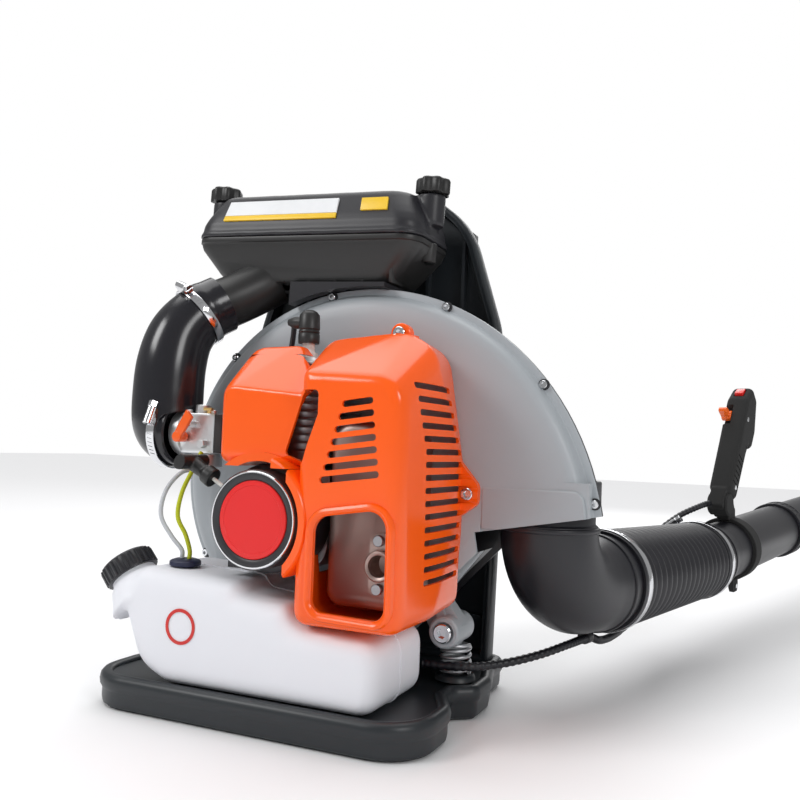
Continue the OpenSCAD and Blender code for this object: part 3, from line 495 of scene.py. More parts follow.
def worked_metal():
    """Tool marks, stains and bright edges of a metal part."""
    group, given, result = new_group("Worked Metal", [
        ("Colour", "color", (0.6, 0.6, 0.6, 1)), ("Stain", "color", (0.2, 0.16, 0.12, 1)),
        ("Roughness", "value", 0.3), ("Stained", "value", 0.2), ("Grain Scale", "value", 500.0)],
        [("Colour", "color"), ("Roughness", "value"), ("Height", "value")])
    net = Net(group)
    place = net.place()
    broad, grain = net.noise(place, 45.0, 4.0), net.noise(place, given.outputs["Grain Scale"], 2.0)
    lines = net.noise(net.place((1, 14, 1)), 260.0, 2.0)
    surface = group.nodes.new("ShaderNodeNewGeometry")
    hollow = net.spread(surface.outputs["Pointiness"], 0.52, 0.44)
    stained = net.math("MULTIPLY", net.math("MAXIMUM", net.spread(broad, 0.5, 0.75), hollow),
                       given.outputs["Stained"])
    net.feed(result.inputs["Colour"], net.mix(stained, given.outputs["Colour"], given.outputs["Stain"]))
    rough = net.math("ADD", given.outputs["Roughness"], net.spread(lines, 0.3, 0.7, -0.06, 0.1))
    net.feed(result.inputs["Roughness"], net.math("ADD", rough, net.math("MULTIPLY", stained, 0.4), clamp=True))
    net.feed(result.inputs["Height"], net.math("ADD", grain, net.math("MULTIPLY", lines, 0.4)))
    return group


def woven_cloth():
    """Crossed threads with darker gaps."""
    group, given, result = new_group("Woven Cloth", [
        ("Colour", "color", (0.03, 0.03, 0.03, 1)), ("Thread Colour", "color", (0.08, 0.08, 0.08, 1)),
        ("Threads", "value", 700.0), ("Lint", "value", 0.15)],
        [("Colour", "color"), ("Roughness", "value"), ("Height", "value")])
    net = Net(group)
    place = net.place()
    split = group.nodes.new("ShaderNodeSeparateXYZ")
    net.feed(split.inputs[0], place)
    turn = net.math("MULTIPLY", given.outputs["Threads"], 2 * math.pi)
    warp = net.math("SINE", net.math("MULTIPLY", split.outputs["X"], turn))
    weft = net.math("SINE", net.math("MULTIPLY", net.math("ADD", split.outputs["Z"], split.outputs["Y"]), turn))
    weave = net.spread(net.math("MULTIPLY", warp, weft), -1.0, 1.0)
    patch = net.noise(place, 30.0, 4.0)
    colour = net.mix(weave, given.outputs["Colour"], given.outputs["Thread Colour"])
    lint = net.math("MULTIPLY", net.spread(patch, 0.5, 0.8), given.outputs["Lint"])
    net.feed(result.inputs["Colour"], net.mix(lint, colour, (0.3, 0.29, 0.27, 1)))
    net.feed(result.inputs["Roughness"], net.spread(patch, 0.3, 0.7, 0.78, 0.95))
    net.feed(result.inputs["Height"], weave)
    return group


# slot: (effect, colour code, edge or stain code, roughness, wear or stain, grain scale, grain depth in mm, extras)
FINISHES = {"frame_black": ("skin", "181b24", "4b4f58", 0.42, 0.5, 700, 0.05, {}),
            "pad_fabric": ("cloth", "17181b", "2c2e33", 0.9, 0.2, 420, 0.25, {"Sheen Weight": 0.3}),
            "strap_webbing": ("cloth", "131416", "26282c", 0.9, 0.15, 520, 0.25, {"Sheen Weight": 0.25}),
            "buckle_black": ("skin", "1b1c1f", "3c3e42", 0.4, 0.4, 800, 0.03, {}),
            "spring_steel": ("metal", "d3d6da", "6d6a66", 0.24, 0.25, 300, 0.01, {}),
            "housing_grey": ("skin", "81878f", "b4b9bf", 0.42, 0.5, 900, 0.02, {"Metallic": 0.25}),
            "housing_dark": ("skin", "1d1f24", "3f434b", 0.45, 0.5, 800, 0.04, {}),
            "screw_steel": ("metal", "c9ccd2", "55524e", 0.25, 0.3, 400, 0.01, {}),
            "fan_plastic": ("skin", "2b2d31", "4a4d52", 0.5, 0.3, 700, 0.03, {}),
            "cast_aluminium": ("metal", "8d9094", "4b443c", 0.45, 0.5, 420, 0.08, {}),
            "machined_aluminium": ("metal", "7f8286", "4a433b", 0.34, 0.5, 300, 0.02, {}),
            "forged_steel": ("metal", "7b7e83", "40382f", 0.42, 0.4, 300, 0.03, {}),
            "bearing_steel": ("metal", "c8cace", "6b6864", 0.18, 0.1, 300, 0.01, {}),
            "coil_black": ("skin", "17181a", "3a3b3e", 0.38, 0.3, 800, 0.02, {}),
            "plug_ceramic": ("skin", "e9e8e2", "ffffff", 0.18, 0.1, 600, 0.01, {"Coat Weight": 0.4}),
            "boot_rubber": ("skin", "151517", "2c2c2f", 0.48, 0.2, 900, 0.03, {}),
            "insulator_black": ("skin", "1e1f22", "3a3c40", 0.55, 0.2, 700, 0.03, {}),
            "choke_orange": ("skin", "f2600f", "ff9a4d", 0.36, 0.3, 800, 0.02, {}),
            "brass": ("metal", "cdaa55", "6b4c1d", 0.3, 0.3, 400, 0.01, {}),
            "primer_red": ("skin", "9a2c20", "c85a48", 0.3, 0.1, 800, 0.01, {"Transmission Weight": 0.2}),
            "muffler_steel": ("metal", "705446", "3c2418", 0.5, 0.7, 260, 0.05, {}),
            "cover_orange": ("skin", "fb4a00", "ff8a3c", 0.2, 0.35, 1100, 0.006, {"Coat Weight": 0.5}),
            "starter_black": ("skin", "131419", "4b4e55", 0.36, 0.6, 800, 0.03, {}),
            "badge_red": ("skin", "dd1a12", "f05040", 0.32, 0.2, 1000, 0.01, {"Coat Weight": 0.2}),
            "reel_nylon": ("skin", "d5d1c4", "efece2", 0.4, 0.1, 700, 0.02, {}),
            "handle_rubber": ("skin", "19191b", "333336", 0.6, 0.3, 900, 0.05, {}),
            "rope_white": ("cloth", "b9b6ab", "e9e6dc", 0.9, 0.1, 900, 0.3, {}),
            "tank_white": ("skin", "dde3ee", "ffffff", 0.3, 0.2, 500, 0.02,
                           {"Subsurface Weight": 0.35, "Transmission Weight": 0.12}),
            "cap_black": ("skin", "16171a", "3b3d42", 0.34, 0.4, 800, 0.03, {}),
            "gasket_rubber": ("skin", "7c3226", "9c5244", 0.6, 0.1, 800, 0.02, {}),
            "grommet_rubber": ("skin", "1a2044", "303a66", 0.45, 0.2, 800, 0.02, {}),
            "fuel_hose_yellow": ("skin", "b5bd1c", "dfe45a", 0.28, 0.1, 700, 0.01, {"Transmission Weight": 0.25}),
            "fuel_hose_clear": ("skin", "d4d6d2", "ffffff", 0.15, 0.1, 700, 0.01, {"Transmission Weight": 0.6}),
            "airbox_black": ("skin", "131417", "3d3f44", 0.44, 0.5, 750, 0.05, {}),
            "airlid_black": ("skin", "111215", "3a3c41", 0.3, 0.45, 850, 0.02, {"Coat Weight": 0.15}),
            "knob_black": ("skin", "141416", "38393d", 0.38, 0.4, 850, 0.03, {}),
            "filter_foam": ("skin", "b6a374", "cdbd93", 0.9, 0.1, 420, 0.5, {}),
            "intake_rubber": ("skin", "0f1012", "2b2c30", 0.22, 0.2, 900, 0.01, {"Coat Weight": 0.35}),
            "clamp_steel": ("metal", "cfd2d6", "6a6762", 0.22, 0.25, 400, 0.01, {}),
            "bracket_black": ("skin", "151619", "44464c", 0.42, 0.5, 750, 0.04, {}),
            "duct_black": ("skin", "0f1014", "3a3c42", 0.36, 0.45, 800, 0.02, {}),
            "hose_black": ("skin", "15171c", "3e4148", 0.4, 0.35, 800, 0.02, {}),
            "grip_black": ("skin", "121317", "3c3e44", 0.46, 0.45, 1100, 0.06, {}),
            "trigger_red": ("skin", "d4231a", "ee6a55", 0.34, 0.3, 900, 0.02, {}),
            "lever_orange": ("skin", "f0661a", "ff9a55", 0.34, 0.3, 900, 0.02, {}),
            "switch_red": ("skin", "dc281e", "f4705c", 0.3, 0.3, 900, 0.02, {}),
            "cable_black": ("skin", "111215", "2c2e33", 0.5, 0.3, 900, 0.03, {}),
            "label_white": ("skin", "eceef0", "ffffff", 0.35, 0.1, 500, 0.005, {}),
            "label_yellow": ("skin", "f5c81e", "ffe06a", 0.35, 0.1, 500, 0.005, {}),
            "label_red": ("skin", "cf2018", "e86a5c", 0.35, 0.1, 500, 0.005, {}),
            "stitch_grey": ("cloth", "3a3c40", "5a5d62", 0.9, 0.1, 900, 0.1, {}),}
EFFECTS = {"skin": moulded_skin, "metal": worked_metal, "cloth": woven_cloth}
GROUPS = {}


def finish(slot):
    """The material of a slot, built when it is first asked for."""
    if slot in bpy.data.materials:
        return bpy.data.materials[slot]
    effect, code, second, rough, wear, scale, depth, extras = FINISHES[slot]
    settings = bpy.context.scene.blower_colours
    base = (*getattr(settings, slot, linear(code)), 1)
    if effect not in GROUPS:
        GROUPS[effect] = EFFECTS[effect]()
    material = bpy.data.materials.new(slot)
    material.use_nodes = True
    tree = material.node_tree
    shader = tree.nodes["Principled BSDF"]
    skin = tree.nodes.new("ShaderNodeGroup")
    skin.node_tree = GROUPS[effect]
    skin.inputs["Colour"].default_value = base
    names = {"skin": ("Edge Colour", "Wear", "Grain Scale"), "metal": ("Stain", "Stained", "Grain Scale"),
             "cloth": ("Thread Colour", "Lint", "Threads")}[effect]
    for name, value in zip(names, ((*linear(second), 1), wear, scale)):
        skin.inputs[name].default_value = value
    if effect != "cloth":
        skin.inputs["Roughness"].default_value = rough
    if effect == "metal":
        shader.inputs["Metallic"].default_value = 1.0
    for name, value in extras.items():
        shader.inputs[name].default_value = value
    if "Subsurface Weight" in extras:
        shader.inputs["Subsurface Scale"].default_value = 0.006
    bump = tree.nodes.new("ShaderNodeBump")
    bump.inputs["Distance"].default_value = depth * MM
    bump.inputs["Strength"].default_value = 0.6
    tree.links.new(skin.outputs["Colour"], shader.inputs["Base Color"])
    tree.links.new(skin.outputs["Roughness"], shader.inputs["Roughness"])
    tree.links.new(skin.outputs["Height"], bump.inputs["Height"])
    tree.links.new(bump.outputs["Normal"], shader.inputs["Normal"])
    return material


# ---------- shared outlines of this machine ----------
BASE_LOW, BASE_HIGH = (in_mm(p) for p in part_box("base_frame"))
HALF_W = BASE_HIGH.x - 1
FRONT_Y, REAR_Y = BASE_LOW.y, BASE_HIGH.y
BASE_HEIGHT = 30
BASE_CORNERS = mirrored([
    (HALF_W, FRONT_Y, 44), (HALF_W, -60, 34), (HALF_W - 17, -26, 14), (HALF_W - 17, -8, 10), (HALF_W + 1, 6, 12),
    (HALF_W + 1, 44, 34), (HALF_W - 12, 92, 20), (HALF_W - 12, REAR_Y, 14)])
BACK_CORNERS = mirrored([
    (142, BASE_HEIGHT - 4, 4), (146, 200, 60), (142, 362, 90), (108, 470, 90), (64, BASE_HIGH.z, 34)])
SLOT_CORNERS = [(-52, 463, 12.9), (52, 463, 12.9), (52, 489, 12.9), (-52, 489, 12.9)]
SCROLL_START, SCROLL_RATE, SCROLL_END = 264, 0.532, 139
SPLIT_Y, HOUSING_FRONT, HOUSING_REAR = 22, 3, 95
RIM_BOLTS = [5, 31, 60, 92, 128, 164, 200]
SPRING = Vector((135, 24, 76))
COVER_FRONT = -128
TUBE_R = 37
HOSE_R = 50
ELBOW_BEND = 62
ELBOW_EXIT = 104


def scroll_r(angle):
    """The fan housing's radius at an angle in degrees from the outlet's side."""
    return max(SCROLL_START - SCROLL_RATE * angle, SCROLL_END)


def scroll_outline(d, step=3):
    """The fan housing's outline moved in by d, closed under the outlet."""
    points = []
    for angle in range(0, 319, step):
        r = max(scroll_r(angle) - d, SCROLL_END - 8)
        t = math.radians(angle)
        points.append((CRANK.x + r * math.cos(t), CRANK.z + r * math.sin(t)))
    return points + [(162, 150), (162, 172), (CRANK.x + SCROLL_START - d, 172)]


def scroll_loft(levels):
    """The fan housing's outline through levels of (depth, inset)."""
    return lofted([[(u, y, v) for u, v in scroll_outline(d)] for y, d in levels])


def on_rim(angle, inset_by):
    """A point of the housing's rim in the X-Z plane."""
    r, t = scroll_r(angle) - inset_by, math.radians(angle)
    return CRANK.x + r * math.cos(t), CRANK.z + r * math.sin(t)


def outlet_cutters():
    """The sloping plane under the outlet, and the outlet's bore."""
    slope = Matrix.Rotation(math.radians(-10.5), 4, "Y")
    return [block((-6, -1, -120), (134, 119, 0), slope, (162, 0, 166)),
            rod((OUTLET.x, OUTLET.y, 150), (OUTLET.x, OUTLET.y, 216), 42),
            rod((OUTLET.x, OUTLET.y, 150), (OUTLET.x, OUTLET.y, 174.4), 44.4)]


def cap_screw(spot, way, r, height, socket=True):
    """A cap screw's head with a hexagon socket; the head stands on spot and points along way."""
    spot, way = Vector(spot), Vector(way)
    head = rod(spot, spot + way * height, r, 32, edge=r * 0.12)
    if socket:
        head = carved(head, [rod(spot + way * height * 0.4, spot + way * (height + 1), r * 0.55, 6)])
    return head


def worm_clamp(centre, axis, r, width=9, toward=(0, 0, 1)):
    """A hose clamp: slotted band, screw housing and screw, in one list of solids."""
    centre, axis = Vector(centre), Vector(axis).normalized()
    top = (Vector(toward) - axis * Vector(toward).dot(axis)).normalized()
    side = axis.cross(top)
    band = turned([(0, r), (0, r + 1.2), (0.6, r + 1.5), (width - 0.6, r + 1.5), (width, r + 1.2), (width, r)],
                  centre, axis, 96)
    slots = []
    for k in range(-9, 10):
        t = math.radians(k * 6.5)
        out = top * math.cos(t) + side * math.sin(t)
        flat = axis.cross(out)
        spot = centre + axis * width / 2 + out * (r + 1.6)
        slots.append(hull([spot + axis * a * width * 0.27 + flat * (b * 0.55 + a * 0.5) + out * c
                           for a in (-1, 1) for b in (-1, 1) for c in (-0.7, 1)]))
    band = carved(band, slots)
    mount = centre + axis * width / 2 + top * (r + 1)
    box = hull([mount + axis * a * width * 0.5 + side * b * 8 + top * c for a in (-1, 1) for b in (-1, 1)
                for c in (0, 4.5)])
    barrel = rod(mount + side * -9 + top * 4.6, mount + side * 8 + top * 4.6, 4.1, 24, 0.6)
    head = carved(rod(mount + side * 8 + top * 4.6, mount + side * 14 + top * 4.6, 4.6, 6, 0.5),
                  [hull([mount + side * (12.6 + a) + top * (4.6 + b * 0.6) + axis * c * 6
                         for a in (0, 3) for b in (-1, 1) for c in (-1, 1)])])
    return [band, box, barrel, head]


def from_cad(node, slot, edge=0.6):
    """A CAD node's own shape with its sharp edges rounded."""
    source = NODES[node]
    mesh = source.data.copy()
    work = bmesh.new()
    work.from_mesh(mesh)
    bmesh.ops.remove_doubles(work, verts=work.verts, dist=0.00002)
    bmesh.ops.dissolve_limit(work, angle_limit=math.radians(1.5), verts=work.verts, edges=work.edges)
    work.to_mesh(mesh)
    work.free()
    return finished(in_scene(node, mesh), f"{node}_finished", slot, source["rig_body"], node, angle=32, edge=edge)


# ---------- pieces ----------
def build_base():
    """Moulded base pan with its lip, and the ribbed backrest"""
    sizes = bpy.context.scene.blower_sizes
    lip = sizes.base_lip / MM
    pan = levelled(BASE_CORNERS, [
        (0, 5), (2.5, 2), (7, 1.2), (BASE_HEIGHT - 2 * lip - 1, 1.2), (BASE_HEIGHT - 2 * lip + 1, 0.4),
        (BASE_HEIGHT - 1.6 * lip, -0.8), (BASE_HEIGHT - lip, -1.4), (BASE_HEIGHT - 0.5 * lip, -0.6),
        (BASE_HEIGHT - 0.15 * lip, 1.6), (BASE_HEIGHT, 4.2), (BASE_HEIGHT - 0.4, 7.5), (BASE_HEIGHT - 2, 9.5),
        (BASE_HEIGHT - 4, 10)], "z", 8)
    well = levelled([(-92, -125, 5), (124, -125, 5), (124, -10, 5), (-92, -10, 5)], [(25.9, 0), (27, 0.1), (40, 0.2)],
                    "z", 4)
    pockets = [block((ix * 70 + 6, iy * 60 + 6, -1), (ix * 70 + 64, iy * 60 + 54, 22)) for ix in range(-2, 2)
               for iy in range(-2, 2)]
    carved(pan, [well] + pockets)
    rim = levelled(BACK_CORNERS, [(99.4, 6), (98.6, 4.6), (98.6, 2.6), (99.6, 0.8), (102, 0), (114, 0), (118, 0.8),
                                  (121, 3), (122, 7), (122, 12)])
    hollow = levelled(BACK_CORNERS, [(90, 8), (99, 8), (BACK_Y - 3, 9.2), (BACK_Y - 0.6, 10.4), (BACK_Y, 13)])
    slot = levelled(SLOT_CORNERS, [(90, 0), (130, 0)])
    carved(rim, [hollow])
    frame_round = levelled(SLOT_CORNERS, [(BACK_Y - 8, -4), (BACK_Y - 9, -5.5), (BACK_Y - 8, -8), (BACK_Y + 2, -9)])
    ribs = [block((x - 1.6, BACK_Y - 9, 40), (x + 1.6, BACK_Y + 2, 455)) for x in (-100, -60, -20, 20, 60, 100)]
    ribs += [block((-131, BACK_Y - 7, z - 1.6), (131, BACK_Y + 2, z + 1.6)) for z in range(70, 400, 55)]
    combined(rim, [frame_round] + ribs)
    carved(rim, [slot])
    cups = []
    for side in (-1, 1):
        cups.append(turned([(0, 0), (0, 19), (3.4, 18), (5, 16.4), (5, 9), (10, 8.4), (12, 6.5), (12, 0)],
                           (side * SPRING.x, SPRING.y, BASE_HEIGHT - 1), (0, 0, 1), 48))
    piece = joined("base", [pan, rim] + cups)
    finished(piece, "base_and_backrest", "frame_black", "machine", "base_frame", angle=40)


def build_harness():
    """Padded back rest, shoulder straps and buckles"""
    sizes = bpy.context.scene.blower_sizes
    outer_y = in_mm(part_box("back_pad")[1]).y
    corners = mirrored([(107, 101, 26), (113, 240, 80), (99, 415, 36)])
    inner = BACK_Y + 8.6
    pad = levelled(corners, [(inner, 3), (inner + 3, 0), (outer_y - 8, 0), (outer_y - 4, 5)], steps=6)
    mesh = pad.modifiers.new("voxels", "REMESH")
    mesh.mode = "VOXEL"
    mesh.voxel_size = 0.006
    settle(pad)
    rest = [v.co.copy() for v in pad.data.vertices]
    held = pad.vertex_groups.new(name="held")
    held.add([v.index for v in pad.data.vertices if v.co.y < (inner + 2.5) * MM], 1.0, "REPLACE")
    cloth = pad.modifiers.new("padding", "CLOTH")
    cloth.settings.vertex_group_mass = "held"
    cloth.settings.use_pressure = True
    cloth.settings.uniform_pressure_force = sizes.pad_pressure
    cloth.settings.effector_weights.gravity = 0
    cloth.settings.quality = 6
    for step in range(1, 21):
        bpy.context.scene.frame_set(step)
    settle(pad)
    bpy.context.scene.frame_set(1)
    for vertex, start in zip(pad.data.vertices, rest):
        shift = vertex.co - start
        vertex.co = start + shift * min(1, 0.007 / max(shift.length, 1e-6))
    fine = pad.modifiers.new("finer", "SUBSURF")
    fine.levels = 1
    settle(pad)
    channels = (175, 250, 325)
    for vertex in pad.data.vertices:
        p = vertex.co / MM
        if p.y > inner + 7:
            gap = min(abs(p.z - z) for z in channels)
            spine = abs(p.x)
            vertex.co.y -= (5.5 * math.exp(-(gap / 4.5) ** 2) + 6 * math.exp(-(spine / 9) ** 2)) * MM
            vertex.co.y += 0.5 * noise.noise(p * 0.05) * MM
        vertex.co.y = max(vertex.co.y, inner * MM)
    finished(pad, "padded_back_rest", "pad_fabric", "machine", "back_pad", angle=70)
    path = [(u, inner + 7, v) for u, v in rounded(inset(corners, -1.2), 8)]
    finished(joined("piping", [swept(path + path[:1], 2.0, 8)]), "pad_piping", "strap_webbing", "machine", angle=60)

    side_path = smooth_path([(0, -1, 470), (0, 6, 458), (0, 30, 440), (0, 46, 400), (0, 56, 340), (0, 58, 280),
                             (0, 54, 220), (0, 42, 160), (0, 22, 112), (0, 4, 84), (0, -1, 66)], 6)
    for side, node in ((-1, "shoulder_strap_left"), (1, "shoulder_strap_right")):
        rings, web, seams = [], [], []
        count = len(side_path)
        for i, p in enumerate(side_path):
            t = (side_path[min(i + 1, count - 1)] - side_path[max(i - 1, 0)]).normalized()
            normal = Vector((0, -t.z, t.y))
            if normal.y < 0:
                normal = -normal
            share = i / (count - 1)
            padded = min(1, max(0, (share - 0.08) / 0.06)) * min(1, max(0, (0.72 - share) / 0.08))
            half_w = 15 + 12 * padded
            half_t = 1.4 + 3.2 * padded
            centre = Vector((side * 72, BACK_Y + 34 + p.y, p.z))
            ring = []
            for a in angles(28):
                ca, sa = math.cos(a), math.sin(a)
                flat = math.copysign(abs(ca) ** 0.42, ca)
                thick = math.copysign(abs(sa) ** (0.75 if padded > 0.3 else 0.4), sa)
                pinch = 1 - 0.5 * padded * math.exp(-((abs(flat) - 0.86) / 0.07) ** 2)
                ring.append(centre + Vector((half_w * flat, 0, 0)) + normal * half_t * thick * pinch)
            rings.append(ring)
            if 0.05 < share < 0.95:
                web.append((centre + normal * (half_t + 0.2), normal))
            if padded > 0.9:
                seams.append((centre, normal, half_w))
        strap = lofted(rings)
        finished(strap, f"{node}_padded", "strap_webbing", "machine", node, angle=60)
        belt = lofted([[c + Vector((u, 0, 0)) + n * v for u, v in ((-11, 0), (-11, 1.5), (0, 1.8), (11, 1.5),
                                                                   (11, 0))] for c, n in web])
        finished(belt, f"{node}_webbing", "pad_fabric", "machine", angle=40)
        stitches = []
        for i in range(len(seams) - 1):
            (c0, n0, w), (c1, n1, _) = seams[i], seams[i + 1]
            for u in (-0.86, 0.86):
                a = c0.lerp(c1, 0.15) + Vector((w * u, 0, 0)) + n0 * 2.6
                b = c0.lerp(c1, 0.75) + Vector((w * u, 0, 0)) + n1 * 2.6
                stitches.append(rod(a, b, 0.5, 6))
        finished(joined("stitches", stitches), f"{node}_stitching", "stitch_grey", "machine", angle=60)
    from_cad("strap_buckles", "buckle_black", 1.2)


def build_springs():
    """Coil springs between the base and the fan housing"""
    wire = bpy.context.scene.blower_sizes.spring_wire / MM
    low, high = BASE_HEIGHT + 5.5, SPRING.z - 15.5
    coils, coil_r, flat_end = 5, 13, 0.08
    steps = coils * 36
    parts = []
    for side in (-1, 1):
        path = []
        for i in range(steps + 1):
            share = i / steps
            eased = min(max((share - flat_end) / (1 - 2 * flat_end), 0), 1)
            a = 2 * math.pi * coils * share
            path.append((side * SPRING.x + coil_r * math.cos(a), SPRING.y + coil_r * math.sin(a),
                         low + (high - low) * eased))
        parts.append(swept(path, wire, 12))
    finished(joined("coils", parts), "mount_springs", "spring_steel", "machine", "spring_mounts", angle=60)


def build_housing():
    """Both halves of the fan housing with their screws, and the fan"""
    front_levels = [(SPLIT_Y, 1), (SPLIT_Y - 0.6, 0.2), (SPLIT_Y - 2, 0), (SPLIT_Y - 3.6, 0.3), (SPLIT_Y - 4.2, 1.4),
                    (SPLIT_Y - 4.4, 6.2), (SPLIT_Y - 5.4, 7.4), (13, 8.6), (9, 10.6), (6, 14), (4, 20), (2.6, 30),
                    (1.6, 46), (1.2, 70)]
    shell = scroll_loft(front_levels)
    bulk = scroll_loft([(SPLIT_Y + 1, 11), (14, 11.4), (9, 14), (6, 20), (4.4, 32), (4.2, 60)])
    add = [block((158, HOUSING_FRONT, 158), (257, SPLIT_Y, 213)),
           levelled([(162, 168, 3), (258, 168, 3), (252, 206, 10), (162, 206, 3)],
                    [(SPLIT_Y - 0.4, 0), (1.6, 0), (0.4, 1.4)])]
    for side in (-1, 1):
        foot = prism([(side * u, v) for u, v in
                      ((94, 116), (119, 118), (148, 82), (149, 76), (142, 62), (130, 62), (118, 74))],
                     HOUSING_FRONT, SPLIT_Y - 2)
        boss = rod((side * SPRING.x, HOUSING_FRONT - 14, SPRING.z), (side * SPRING.x, SPLIT_Y + 12, SPRING.z), 14, 48,
                   1.6)
        web = hull([(side * u, y, v) for u, v, y in ((118, 104, 3), (126, 104, 3), (130, 80, -9), (138, 80, -9),
                                                     (120, 104, 18), (134, 80, 20))])
        add += [foot, boss, web]
    keep = combined(shell, add)
    cuts = [bulk] + outlet_cutters() + [rod((CRANK.x, -2, CRANK.z), (CRANK.x, SPLIT_Y + 2, CRANK.z), 18)]
    for side in (-1, 1):
        cuts.append(rod((side * SPRING.x, HOUSING_FRONT - 15, SPRING.z),
                        (side * SPRING.x, HOUSING_FRONT - 11.6, SPRING.z), 9.6))
    keep = carved(keep, cuts)
    finished(keep, "fan_housing_front", "housing_grey", "machine", "volute_front", angle=32, edge=0.35)

    steps = [(SPLIT_Y + 0.1, 1), (SPLIT_Y + 0.6, 0.3), (SPLIT_Y + 3.6, 0.1), (SPLIT_Y + 4.2, 1.2), (SPLIT_Y + 4.4, 6),
             (32, 7), (48, 8.4), (58, 11), (68, 15.6), (77, 22), (84, 28.5), (90, 36), (93.6, 43), (HOUSING_REAR, 52),
             (HOUSING_REAR, 60)]
    rear = scroll_loft(steps)
    hollow = scroll_loft([(SPLIT_Y - 1, 11), (48, 11.4), (58, 14), (68, 18.6), (77, 25), (84, 32), (89, 42),
                          (91.5, 60)])
    rear = combined(rear, [block((158, SPLIT_Y, 158), (251, 60, 208)),
                           rod((OUTLET.x, OUTLET.y, 150), (OUTLET.x, OUTLET.y, 214), 46, 64, 1)])
    cuts = [hollow, block((150, -10, 120), (300, SPLIT_Y, 260))] + outlet_cutters()
    for r in range(30, 90, 12):
        for q in range(4):
            start, stop = math.radians(q * 90 + 6), math.radians(q * 90 + 84)
            arc = [start + (stop - start) * k / 12 for k in range(13)]
            outline = [(CRANK.x + (r + 7) * math.cos(a), CRANK.z + (r + 7) * math.sin(a)) for a in arc]
            outline += [(CRANK.x + r * math.cos(a), CRANK.z + r * math.sin(a)) for a in reversed(arc)]
            cuts.append(prism(outline, 86, 97))
    rear = carved(rear, cuts)
    finished(rear, "fan_housing_rear", "housing_dark", "machine", "volute_rear", angle=32, edge=0.35)

    heads, washers = [], []
    for angle in RIM_BOLTS:
        x, z = on_rim(angle, 4)
        heads.append(cap_screw((x, SPLIT_Y - 4.8, z), (0, -1, 0), 3.6, 4))
        washers.append(rod((x, SPLIT_Y - 4.2, z), (x, SPLIT_Y - 5.2, z), 5.2, 24, 0.2))
    for side in (-1, 1):
        heads.append(cap_screw((side * SPRING.x, HOUSING_FRONT - 11.8, SPRING.z), (0, -1, 0), 8.4, 6.4))
    finished(joined("heads", heads), "housing_cap_screws", "screw_steel", "machine", "housing_screws", angle=30)
    finished(joined("washers", washers), "housing_washers", "coil_black", "machine", angle=30)
    from_cad("fan_impeller", "fan_plastic", 0.5)


def cover_shape(d):
    """The engine cover's outer form moved in by d."""
    front = [(46, 92, 12), (142, 92, 14), (139, 296, 26), (46, 300, 6)]
    middle = [(46, 94, 12), (146, 94, 14), (142, 320, 30), (112, 337, 30), (30, 330, 20), (24, 240, 4)]
    rear = [(46, 96, 12), (142, 96, 14), (146, 214, 60), (128, 322, 30), (100, 337, 30), (30, 328, 20), (24, 240, 4)]
    lobe, lobe_rear = [(-43, 219, 8), (48, 219, 4), (48, 284, 6), (-43, 292, 14)], [(-50, 219, 8), (20, 219, 4),
            (14, 326, 8), (-46, 324, 20)]
    end = 6 if d else 2.4
    body = hull_slabs([(rounded(inset(front, d + 9), 6), COVER_FRONT + d, COVER_FRONT + d + 1),
                       (rounded(inset(front, d + 2.6), 6), COVER_FRONT + d + 3.4, COVER_FRONT + d + 4),
                       (rounded(inset(front, d), 6), COVER_FRONT + d + 11, COVER_FRONT + d + 12),
                       (rounded(inset(middle, d), 6), -62, -60), (rounded(inset(rear, d), 6), 0, end)])
    side = hull_slabs([(rounded(inset(lobe, d + 6), 6), -112 + d, -111 + d),
                       (rounded(inset(lobe, d), 6), -105 + d, -104 + d), (rounded(inset(lobe_rear, d), 6), -66, -64),
                       (rounded(inset(lobe_rear, d), 6), -26, -20 if d else -24)])
    return [body, side]


